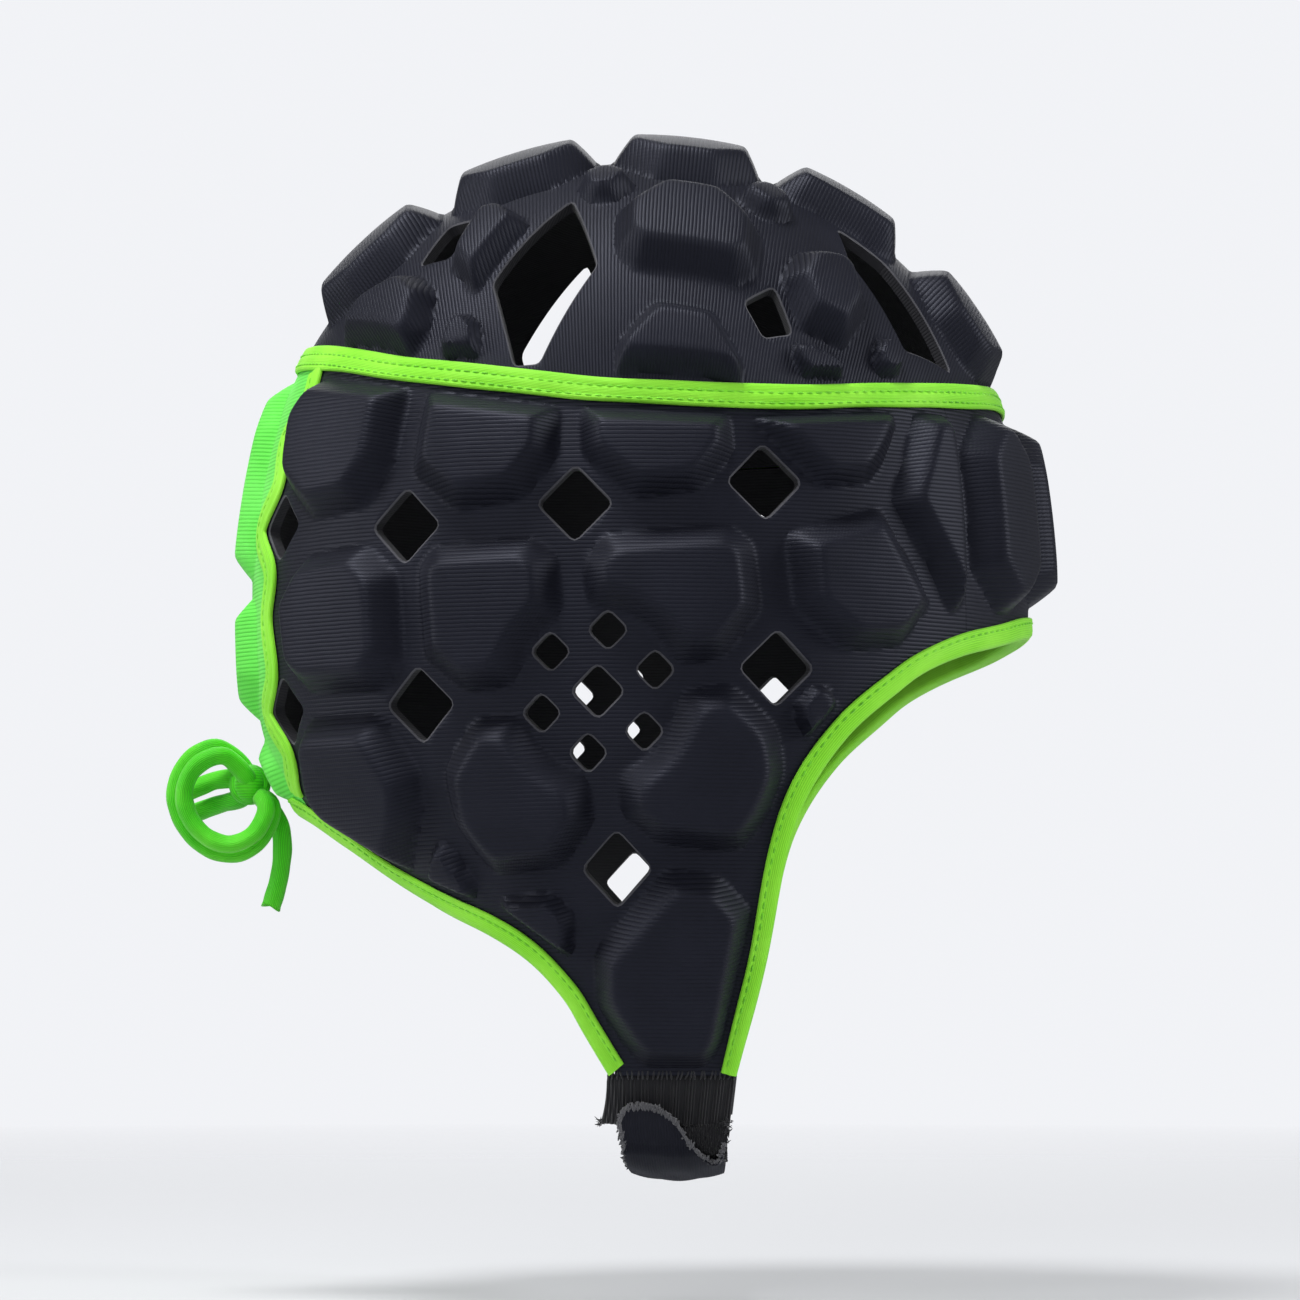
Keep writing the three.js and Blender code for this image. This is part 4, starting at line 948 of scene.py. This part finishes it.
def trim(name, form, line, section, closed=False, seed=1.0):
    """A tape or binding along a line of the pattern."""
    line = resampled(line, round(length_of(line) / TRIM_STEP))
    line = line[:-1] if closed else line
    way = np.roll(line, -1, axis=0) - np.roll(line, 1, axis=0) if closed else tangents(line)
    if closed:
        way[[0, -1]] = way[1]
    way = unit(way)
    along = np.arange(len(line)) * TRIM_STEP
    rings = []
    for j, (x, y) in enumerate(np.array(section) * MM):
        across = x * (1 + breath(along, WIDTH_SWING, seed)) + breath(along, SIDE_SWING, seed + 2)
        spots = line + pair(-way[:, 1], way[:, 0]) * across[:, None]
        rings.append(raised(form, spots, y + breath(along, HEIGHT_SWING, seed + j)))
    obj = swept(name, np.stack(rings, 1), along, GREEN_TAPE, closed)
    crease(obj, TRIM_CREASE)
    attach(obj, "root")
    print(name, "length, mm:", round(length_of(line) / MM))
    return obj


face_line = smooth_line(np.vstack([mirrored_line(face_points[:0:-1]), face_points]), TRIM_PIECES)
neck_line = smooth_line(np.vstack([neck_points, mirrored_line(neck_points[-2::-1], HALF_GIRTH)]), TRIM_PIECES)
round_ways = np.linspace(-HALF_GIRTH, HALF_GIRTH, 600)
unevenness = 0.35 * MM * np.sin(round_ways / (13 * MM)) * np.cos(round_ways / (29 * MM))
crown_line = pair(round_ways, seam_height(round_ways) + unevenness)
tape_top = seam_height(rear_points[0][0]) - TAPE_WIDTH / 2 - 0.5 * MM
tape_foot = NECK_CORNER + BIND_WIDTH + 2 * MM
rear_line = rear_cut[(rear_cut[:, 1] < tape_top) & (rear_cut[:, 1] > tape_foot)]
TRIMS = [("face_binding", SIDE, face_line, BINDING, False), ("neck_binding", SIDE, neck_line, BINDING, False),
         ("crown_binding", SIDE, crown_line, TAPE, True), ("rear_tape_right", SIDE, rear_line, TAPE, False),
         ("rear_tape_left", SIDE_LEFT, rear_line, TAPE, False)]
for seed, (name, form, line, section, closed) in enumerate(TRIMS):
    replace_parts(trim(name + "_cloth", form, line, section, closed, seed + 1.0), name)

# %% [markdown]
# One stitch is modelled, a short round thread whose ends dip into the cloth, and
# every row of stitches is made of copies of it. The rows sit in the shallow
# grooves that the sections above leave for them.
# %% Stitches
STITCH_GAP, STITCH_SIZE = 2.7 * MM, (1.9, 0.5, 0.4)
STITCH_DIP = 0.5


def thread_shape():
    """The points and faces of one stitch, 1 long and 1 wide."""
    bpy.ops.object.select_all(action="DESELECT")
    bpy.ops.mesh.primitive_uv_sphere_add(segments=6, ring_count=6, radius=0.5, rotation=(0, math.pi / 2, 0))
    model = bpy.context.object
    bpy.ops.object.transform_apply(location=True, rotation=True, scale=True)
    points = np.array([v.co for v in model.data.vertices])
    faces = [tuple(f.vertices) for f in model.data.polygons]
    bpy.data.objects.remove(model)
    points[:, 2] += STITCH_DIP * (0.25 - points[:, 0] ** 2) * 4 - STITCH_DIP
    return points, faces


THREAD_POINTS, THREAD_FACES = thread_shape()


def stitches(name, places, ways, outs, size, material, slot):
    """Copies of the stitch. Its size is its length, width and height in millimetres."""
    ways = unit(ways)
    axes = (ways, np.cross(outs, ways), outs)
    size = np.broadcast_to(np.asarray(size, float) * MM, (len(places), 3))
    points = places[:, None] + sum(THREAD_POINTS[None, :, k, None] * size[:, None, k:k + 1] * axes[k][:, None]
                                   for k in range(3))
    count = len(THREAD_POINTS)
    faces = [tuple(i + n * count for i in face) for n in range(len(places)) for face in THREAD_FACES]
    points = points.reshape(-1, 3)
    obj = mesh_piece(name, points, faces, points[:, :2], [material])
    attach(obj, "root")
    print(name, "stitches:", len(places))
    return obj


def stitch_row(name, form, line, shift, height):
    """A row of stitches along a line of the pattern, moved aside from it."""
    spots = moved_aside(resampled(line, round(length_of(line) / STITCH_GAP)), shift * MM)[1:-1]
    places = raised(form, spots, height * MM)
    outs = frame_at(form, spots)[3]
    return stitches(name, places, np.gradient(places, axis=0), outs, STITCH_SIZE, GREEN_THREAD, "green_tape")


for row in (("face_stitches", SIDE, face_line, 4.3, 4.2), ("neck_stitches", SIDE, neck_line, 4.3, 4.2),
            ("crown_stitches_upper", SIDE, crown_line, 0.7, 4.55),
            ("crown_stitches_lower", SIDE, crown_line, -1.9, 4.45),
            ("rear_stitches_right", SIDE, rear_line, 0.7, 4.55),
            ("rear_stitches_left", SIDE_LEFT, rear_line, 0.7, 4.55)):
    stitch_row(*row)

# %% [markdown]
# Each flap ends in a ribbed elastic. Its ribs are real ridges, it is whipped to
# the flap with black thread, and its lower rear corner is drawn out and frayed.
# %% Elastics
ELASTIC_THICK, ELASTIC_DROP = 1.6 * MM, 13 * MM
ELASTIC_RIB, ELASTIC_ROWS, RIB_CELLS = 1.1 * MM, 16, 5
WHIPS, WHIP_SIZE = 26, (2.8, 0.5, 0.45)
ELASTIC_START, ELASTIC_WIDTH = face_points[-1][0], neck_points[0][0] - face_points[-1][0]


def grid_piece(name, front, back, along, across, material):
    """A closed sheet between two equal grids of points."""
    rows, columns = front.shape[:2]
    number = np.arange(rows * columns).reshape(rows, columns)
    cells = np.stack([number[:-1, :-1], number[:-1, 1:], number[1:, 1:], number[1:, :-1]], -1).reshape(-1, 4)
    rim = [*number[0, :-1], *number[:-1, -1], *number[-1, :0:-1], *number[:0:-1, 0]]
    shift = rows * columns
    faces = [*cells.tolist(), *(cells[:, ::-1] + shift).tolist()]
    faces += [(p, q, q + shift, p + shift) for p, q in zip(rim, rim[1:] + rim[:1])]
    points = np.vstack([front.reshape(-1, 3), back.reshape(-1, 3)])
    uv = np.tile(pair(along, across).reshape(-1, 2), (2, 1))
    obj = mesh_piece(name, points, faces, uv, [material])
    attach(obj, "root")
    return obj


def elastic_grid(form, lift):
    """Points of an elastic's face at a height over the form."""
    count = round(ELASTIC_WIDTH / ELASTIC_RIB) * RIB_CELLS
    across, down = np.meshgrid(np.linspace(0, 1, count + 1), np.linspace(0, 1, ELASTIC_ROWS + 1))
    rear, front = np.clip(across * 4 - 3, 0, 1), np.clip(1 - across * 5, 0, 1)
    drawn = down ** 2 * rear ** 1.5
    ways = ELASTIC_START + ELASTIC_WIDTH * across + MM * (1.2 * rear + 2.8 * drawn - 0.5 * down * front)
    heights = FLAP_END - SEAM_GAP * 0.3 - down * (ELASTIC_DROP - 0.8 * MM * drawn)
    ridge = 0.3 * MM * (np.abs(np.sin(np.pi * across * count / RIB_CELLS)) - 0.5)
    height = lift + np.sign(lift - WALL / 2) * (ridge - 0.35 * MM * (down < 0.08))
    points = raised(form, pair(ways, heights).reshape(-1, 2), height.reshape(-1))
    return points.reshape(*across.shape, 3), ways, heights


corners = {}
for hand, form in (("right", SIDE), ("left", SIDE_LEFT)):
    outer_face, ways, heights = elastic_grid(form, (WALL + ELASTIC_THICK) / 2)
    inner_face, _, _ = elastic_grid(form, (WALL - ELASTIC_THICK) / 2)
    piece = grid_piece("strap_elastic_" + hand + "_web", outer_face, inner_face, ways, heights, ELASTIC_WEB)
    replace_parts(piece, "strap_elastic_" + hand)
    corners[hand] = outer_face[-1, -1]
    generator = random.Random(7)
    spots, tips = [], []
    for k in range(WHIPS):
        at = np.array([ELASTIC_START + ELASTIC_WIDTH * (k + 0.5) / WHIPS, FLAP_END])
        spots.append(at + (generator.uniform(-0.3, 0.3) * MM, -1.1 * MM))
        tips.append(at + (generator.uniform(-0.9, 0.9) * MM, 1.2 * MM))
    low = raised(form, spots, np.full(WHIPS, 2.7 * MM))
    high = raised(form, tips, np.full(WHIPS, WALL + 0.2 * MM))
    stitches("whip_stitches_" + hand, (low + high) / 2, high - low, frame_at(form, spots)[3], WHIP_SIZE,
             BLACK_THREAD, "elastic")

# %% [markdown]
# The chin strap is one soft band. It is lapped inside the left elastic, hangs
# under the chin and comes up outside the right one, where its end is a tab: the
# upper edge falls to the front in a curve and curls up again.
# %% Chin strap
STRAP_WIDTH, STRAP_THICK, STRAP_CENTRE = 27 * MM, 1.8 * MM, 10 * MM
STRAP_END, SAG = FLAP_END - SEAM_GAP - ELASTIC_DROP, 15 * MM
LAP_FADE, STRAP_COLUMNS, STRAP_ROWS = 14 * MM, 44, 150
strap_left = side_points(np.array(-HALF_GIRTH / 2), np.array(STRAP_END))[1] + WALL / 2
strap_right = side_points(np.array(HALF_GIRTH / 2), np.array(STRAP_END))[1] - WALL / 2
# The strap's middle line: its place across the head, in mm from an elastic where it is near one, and its
# drop as a share of the sag.
LEFT_RUN = [(-1.9, -4 / 15), (-2.1, 0.5 / 15), (-4.4, 0.42)]
HANGING_RUN = [(strap_left * 0.8, 0.74), (strap_left * 0.45, 0.95), (0, 1), (strap_right * 0.45, 0.97),
               (strap_right * 0.85, 0.78)]
RIGHT_RUN = [(-2.4, 0.5), (-4.2, 0.3), (-5.1, 0), (-6.2, -6.2 / 15)]
# The tab's upper edge: the share of the strap's width, then the height in mm.
TAB_TOP = [(-0.5, -255.2), (-0.485, -253.4), (-0.44, -251.9), (-0.36, -251.2), (-0.2, -251.4),
           (-0.08, -252.9), (0.04, -255.4), (0.11, -259.0), (0.19, -262.4), (0.28, -264.9), (0.375, -266.6),
           (0.43, -266.0), (0.47, -264.0), (0.5, -261.0)]


def strap_lap(x, at):
    """How far the strap's left end bends in, as it is sewn inside the curved elastic."""
    half_width = strap_left - WALL / 2
    half_length = HALF_LENGTH * half_width / HALF_WIDTH
    return half_width * (1 - np.sqrt(1 - (x / half_length) ** 2)) * np.clip(1 - at / LAP_FADE, 0, 1)


def bulge(z, middle, size):
    """A soft ridge at a height, on one side of it as on the other."""
    return np.exp(-((z - middle * MM) / (size * MM)) ** 2)


def strap_grid(line, lift):
    """Points of the strap's face at a distance from its middle line."""
    shares = np.linspace(-0.5, 0.5, STRAP_COLUMNS + 1)
    lengths = distances(line)
    rising = np.where((line[:, 0] < 0) & (line[:, 1] > STRAP_END - SAG * 0.85))[0]
    tops = np.interp(shares, *np.array(TAB_TOP).T) * MM
    ends = np.interp(tops, line[rising, 1], lengths[rising])
    side = tangents(line)
    points, along = [], []
    for share, end in zip(shares, ends):
        at = np.linspace(0, 1, STRAP_ROWS + 1) ** 0.8 * end
        y, z, side_y, side_z = (np.interp(at, lengths, row) for row in (*line.T, *side.T))
        low = np.clip((STRAP_END - z) / SAG, 0, 1)
        curl = np.clip((share - 0.3) / 0.2, 0, 1) ** 2 * np.clip((at - end) / (9 * MM) + 1, 0, 1) ** 2
        crease_height = 0.55 * MM * bulge(z, -262, 0.8) * (y < 0) * (share < 0.16)
        belly = 0.9 * MM * bulge(z, -257, 4) * (y < 0) * (1 - (2 * share + 0.3) ** 2)
        ripple = 0.25 * MM * np.sin(at / (5.1 * MM) + 5 * share) * np.cos(9 * share)
        out = lift - belly + crease_height - 2.4 * MM * curl + ripple
        x = STRAP_CENTRE + STRAP_WIDTH * share * (1 - 0.10 * low) + 0.7 * MM * low
        drop = side_y * out - 1.9 * MM * low * (2 * share) ** 2
        points.append(np.stack([x, y + side_z * out - strap_lap(x, at), z - drop], -1))
        along.append(at)
    along = np.stack(along, 1)
    return np.stack(points, 1), along, np.broadcast_to(shares * STRAP_WIDTH, along.shape)


def grid_area(points):
    a, b = points[1:, :-1] - points[:-1, :-1], points[:-1, 1:] - points[:-1, :-1]
    return float(np.linalg.norm(np.cross(a, b), axis=-1).sum())


band = smooth_line([(y, STRAP_END - SAG * drop) for y, drop in (
    *((strap_left + y * MM, drop) for y, drop in LEFT_RUN), *HANGING_RUN,
    *((strap_right + y * MM, drop) for y, drop in RIGHT_RUN))], 400)
strap_outer, strap_along, strap_across = strap_grid(band, -STRAP_THICK / 2)
strap_inner, _, _ = strap_grid(band, STRAP_THICK / 2)
strap = grid_piece("chin_strap_cloth", strap_outer, strap_inner, strap_along, strap_across, STRAP_WEB)
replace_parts(strap, "chin_strap", "strap_tab")
strap_middle, _, _ = strap_grid(band, 0)
print("strap, mm:", round(length_of(band) / MM, 1), "area, cm2:", round(grid_area(strap_middle) * 1e4, 2))

# %% [markdown]
# The strap's cut edge is overlocked with grey thread, so close and uneven that it
# looks furry. Behind it a patch of fleece closes the gap up to the elastic, and a
# few loose threads hang where the webs are cut.
# %% Strap edges
OVERLOCK = cloth("overlock thread", (0.030, 0.030, 0.034), (0.105, 0.105, 0.115), (0.135, 0.135, 0.145),
                 40, 40, 0.00004, 0.5, 0.9, drawn_on="Object")
EDGE_PIECES, EDGE_WEIGHT = 130, 1e-4
EDGE_SIZE, RIM_SIZE, LOOSE_SIZE = (2.3, 0.6, 0.5), (2.2, 0.55, 0.5), (2.6, 0.22, 0.22)
draw = np.random.RandomState(5)


def fuzz(name, places, ways, size, spread, material):
    """Uneven threads over places that face the near side."""
    ways = unit(ways) + draw.normal(0, spread, ways.shape)
    near = np.array([0, -1.0, 0]) + draw.normal(0, 0.15, ways.shape)
    outs = unit(np.cross(ways, np.cross(near, ways)))
    sizes = np.array(size) * draw.uniform(0.75, 1.25, (len(places), 1))
    return stitches(name, places, ways, outs, sizes, material, "fleece")


left_rows = np.where((strap_middle[:, 0, 1] < 0) & (strap_middle[:, 0, 2] > -268 * MM))[0]
edge = np.vstack([strap_middle[left_rows, 0], strap_middle[-1, 1:]])
inward = np.vstack([strap_middle[left_rows, 2] - strap_middle[left_rows, 0],
                    strap_middle[-6, 1:] - strap_middle[-1, 1:]])
edge_rows = resampled(np.hstack([edge, unit(inward) * EDGE_WEIGHT]), EDGE_PIECES)
edge_places, edge_ways = edge_rows[:, :3], edge_rows[:, 3:] / EDGE_WEIGHT
over_edge = edge_places + edge_ways * 0.5 * MM - [0, STRAP_THICK / 2, 0]
overlock = fuzz("overlock", over_edge, edge_ways, EDGE_SIZE, 0.25, OVERLOCK)
rim_places = np.tile(edge_places, (2, 1))
rim_places = rim_places + draw.normal(0, 0.25 * MM, rim_places.shape)
rim_ways = np.tile([[0, 1.0, 0.1]], (len(rim_places), 1))
overlock_rim = fuzz("overlock_rim", rim_places, rim_ways, RIM_SIZE, 0.4, OVERLOCK)

# %% [markdown]
# The fleece is a patch whose nap is uneven, hung from just inside the elastic.
# Then a few loose threads are made.
# %% Fleece and loose threads
FLEECE_PATH = [(1.6, -255.6), (-0.4, -258.5), (-0.8, -261.5), (1.0, -263.8), (5, -265.4), (10, -266.4)]
FLEECE_FRONT, FLEECE_REAR, FLEECE_THICK = 24 * MM, 6 * MM, 1.2 * MM
fleece_line = smooth_line([(strap_right + y * MM, z * MM) for y, z in FLEECE_PATH], 40)
across = np.tile(np.linspace(FLEECE_REAR, FLEECE_FRONT, 53), (len(fleece_line), 1))
nap = draw.normal(0, 0.16 * MM, across.shape)
down = np.broadcast_to(fleece_line[:, 1:], across.shape)
fleece_face = np.stack([across + draw.normal(0, 0.05 * MM, across.shape), fleece_line[:, :1] + nap, down], -1)
fleece = grid_piece("strap_fleece", fleece_face, fleece_face + [0, FLEECE_THICK, 0], down, across, FLEECE)
tufts = [((FLEECE_FRONT, strap_right - 0.2 * MM, -258 * MM), 26, 1.6), (corners["right"], 14, 0.6),
         ((FLEECE_FRONT, strap_right - 0.6 * MM, -256.5 * MM), 8, 0.5)]
tuft_places = np.vstack([draw.normal(at, (0.35 * MM, 0.3 * MM, spread * MM), (count, 3))
                         for at, count, spread in tufts])
fuzz("loose_threads", tuft_places, draw.normal(0, 1, tuft_places.shape), LOOSE_SIZE, 0.1, BLACK_THREAD)

# %% [markdown]
# The lace behind is a soft knitted tube, tied in a bow. Its stretches follow the
# same points as the solid model. The tube is a little flat with one long crease,
# and its cut ends are open.
# %% Lace
LACE, LACE_SIDES, LACE_STEP = 5 * MM, 20, 0.9 * MM
KNOT_AT = (-106.8, 4.5, -166)
ROUTES = {
    "lace_loop_near": [
        (-107.8, -0.7, -163.2), (-112.4, -4.5, -158.8), (-117.6, -5.5, -159.8), (-121.8, -5.5, -163.6),
        (-123.5, -5.2, -169.6), (-121.4, -5.0, -176.2), (-116.6, -4.8, -181.0), (-110.6, -4.6, -182.6),
        (-104.6, -4.2, -179.8), (-101.6, -3.8, -174.6), (-101.6, -3.4, -171.4)],
    "lace_loop_far": [
        (-109.4, 5.2, -160.4), (-115.0, 2.5, -156.2), (-120.4, 1.5, -157.6), (-124.6, 1.0, -161.8),
        (-126.6, 0.8, -168.2), (-125.2, 0.8, -175.0), (-121.4, 0.8, -180.4), (-115.4, 1.0, -184.4),
        (-108.8, 1.2, -184.6), (-103.2, 1.4, -180.6), (-100.6, 1.8, -174.8), (-100.8, 2.0, -171.6)],
    "lace_tail_upper": [
        (-111.1, 7.1, -164.2), (-116.6, 9.0, -164.6), (-121.0, 9.6, -166.2), (-126.0, 10.0, -168.2)],
    "lace_tail_lower": [
        (-109.6, 7.9, -169.6), (-115.4, 12.5, -170.8), (-119.6, 14.5, -172.0), (-125.0, 15.5, -174.0),
        (-128.6, 16.0, -175.6)],
    "lace_tail_low": [
        (-103.5, 7.3, -169.8), (-99.6, 9.0, -175.4), (-98.4, 9.2, -180.4), (-98.4, 9.4, -186.0),
        (-99.4, 9.6, -192.4), (-101.4, 9.8, -199.4)],
}


def lace_rings(line, open_end):
    """Rings along a lace, and back into it where its end is open."""
    way = tangents(line)
    up = np.cross(way[0], (0.1, 1, 0.2))
    angle = np.linspace(0, 2 * np.pi, LACE_SIDES, endpoint=False)
    round_shape = 1 - 0.13 * np.exp(-((angle - 2.2) / 0.3) ** 2)
    rings = []
    for k, (point, ahead) in enumerate(zip(line, way)):
        up = unit(up - ahead * (up @ ahead))
        side = np.cross(ahead, up)
        swell = LACE / 2 * (1 + 0.025 * math.sin(k * 0.4) + 0.015 * math.sin(k * 0.9 + 1)) * round_shape
        high, wide = np.cos(angle) * swell * 1.04, np.sin(angle) * swell * 0.96
        rings.append(point + high[:, None] * up + wide[:, None] * side)
    if open_end:
        wave = (np.sin(2 * angle + 1) * 0.5 * MM)[:, None] * ahead
        rings[-1] = point + (rings[-1] - point) * 1.07 + wave
        last = rings[-1] - point - wave
        for share, back in ((0.93, 0.1), (0.68, 0.3), (0.6, 3.0)):
            rings.append(point + last * share + wave - ahead * back * MM)
    return np.stack(rings)


def toward_knot(point, share):
    """A point between the knot's middle and a lace's end, so that the lace runs into the knot."""
    return tuple(np.array(KNOT_AT) * (1 - share) + np.array(point) * share)


laces, lace_paths = {}, {}
for name, route in ROUTES.items():
    route = [toward_knot(route[0], 0.35), *route] + ([toward_knot(route[-1], 0.7)] if "loop" in name else [])
    route = smooth_line(np.array(route) * MM, 200)
    lace_paths[name] = resampled(route, round(length_of(route) / LACE_STEP))
    rings = lace_rings(lace_paths[name], "tail" in name)
    laces[name] = swept(name + "_knit", rings, distances(rings.mean(axis=1)), LACE_KNIT)
    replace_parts(laces[name], name)
    print(name, "length, mm:", round(length_of(route) / MM, 1))

# %% [markdown]
# The knot is a ball with one turn of the lace round it.
# %% Knot
knot_place = Vector(KNOT_AT) * MM
bpy.ops.object.select_all(action="DESELECT")
bpy.ops.mesh.primitive_uv_sphere_add(segments=40, ring_count=24, radius=0.5 * MM, location=knot_place,
                                     scale=(8.6, 10.6, 11))
knot = bpy.context.object
bpy.ops.mesh.primitive_torus_add(major_segments=48, minor_segments=16, major_radius=3.6 * MM,
                                 minor_radius=2.1 * MM, location=knot_place,
                                 rotation=(math.radians(80), math.radians(25), 0))
knot.select_set(True)
bpy.context.view_layer.objects.active = knot
bpy.ops.object.join()
bpy.ops.object.transform_apply(location=True, rotation=True, scale=True)
bpy.ops.object.shade_smooth()
knot.name = "lace_knot_knit"
knot.data.materials.clear()
knot.data.materials.append(LACE_KNIT)
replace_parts(knot, "lace_knot")
for piece in (*laces.values(), knot):
    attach(piece, "root")

# %% [markdown]
# The lamps stand above and round the cap, so that they graze it: the pads' slopes
# catch them and their flat tops stay dark. The camera sees a pale studio wall, but
# only a fifth of its light falls on the cap.
# %% Lamps and wall
LAMPS = [("key lamp", (-0.35, -0.30, 1.1), 0.45, 13), ("left lamp", (-1.25, -0.20, 0.25), 0.6, 5),
         ("right lamp", (1.25, -0.25, 0.30), 0.5, 8), ("front lamp", (-0.4, -1.4, 0.5), 1.0, 6),
         ("back lamp", (0, 1.3, 0.6), 1.2, 8)]
for name, place, size, power in LAMPS:
    bpy.ops.object.light_add(type="AREA", location=place)
    light = bpy.context.object
    light.name = name
    light.data.shape = "DISK"
    light.data.size = size
    light.data.energy = power
    look_at(light, TARGET)

world = bpy.context.scene.world or bpy.data.worlds.new("studio")
bpy.context.scene.world = world
world.use_nodes = True
tree = world.node_tree
backdrop = tree.nodes["Background"]
fill_in(backdrop, {"Color": (0.885, 0.895, 0.925, 1), "Strength": 1.0})
fill = new_node(tree, "Background", {"Color": (0.86, 0.88, 0.93, 1), "Strength": 0.2})
either = new_node(tree, "MixShader")
link(tree, new_node(tree, "LightPath").outputs["Is Camera Ray"], either.inputs[0])
link(tree, fill.outputs[0], either.inputs[1])
link(tree, backdrop.outputs[0], either.inputs[2])
link(tree, either.outputs[0], tree.nodes["World Output"].inputs["Surface"])
print("lamps:", len(LAMPS))

# %% [markdown]
# The floor is a wide pale disc under the cap. It fades out into the wall, so that
# no edge of it is seen.
# %% Floor
FLOOR_HEIGHT, FLOOR_RADIUS = -305 * MM, 5
bpy.ops.object.select_all(action="DESELECT")
bpy.ops.mesh.primitive_circle_add(vertices=96, radius=FLOOR_RADIUS, fill_type="TRIFAN",
                                  location=(0, 0, FLOOR_HEIGHT))
floor = bpy.context.object
floor.name = "studio_floor"
floor_look = bpy.data.materials.new("pale floor")
floor_look.use_nodes = True
tree = floor_look.node_tree
shader = tree.nodes["Principled BSDF"]
fill_in(shader, {"Base Color": (0.66, 0.67, 0.69, 1), "Roughness": 0.8})
length = new_node(tree, "VectorMath")
length.operation = "LENGTH"
link(tree, new_node(tree, "TexCoord").outputs["Object"], length.inputs[0])
fade = new_node(tree, "MapRange", {"From Min": 0.2, "From Max": 1.6, "To Min": 0.8, "To Max": 0})
link(tree, length.outputs["Value"], fade.inputs["Value"])
link(tree, fade.outputs["Result"], shader.inputs["Alpha"])
floor.data.materials.append(floor_look)
print("floor at, mm:", round(FLOOR_HEIGHT / MM))
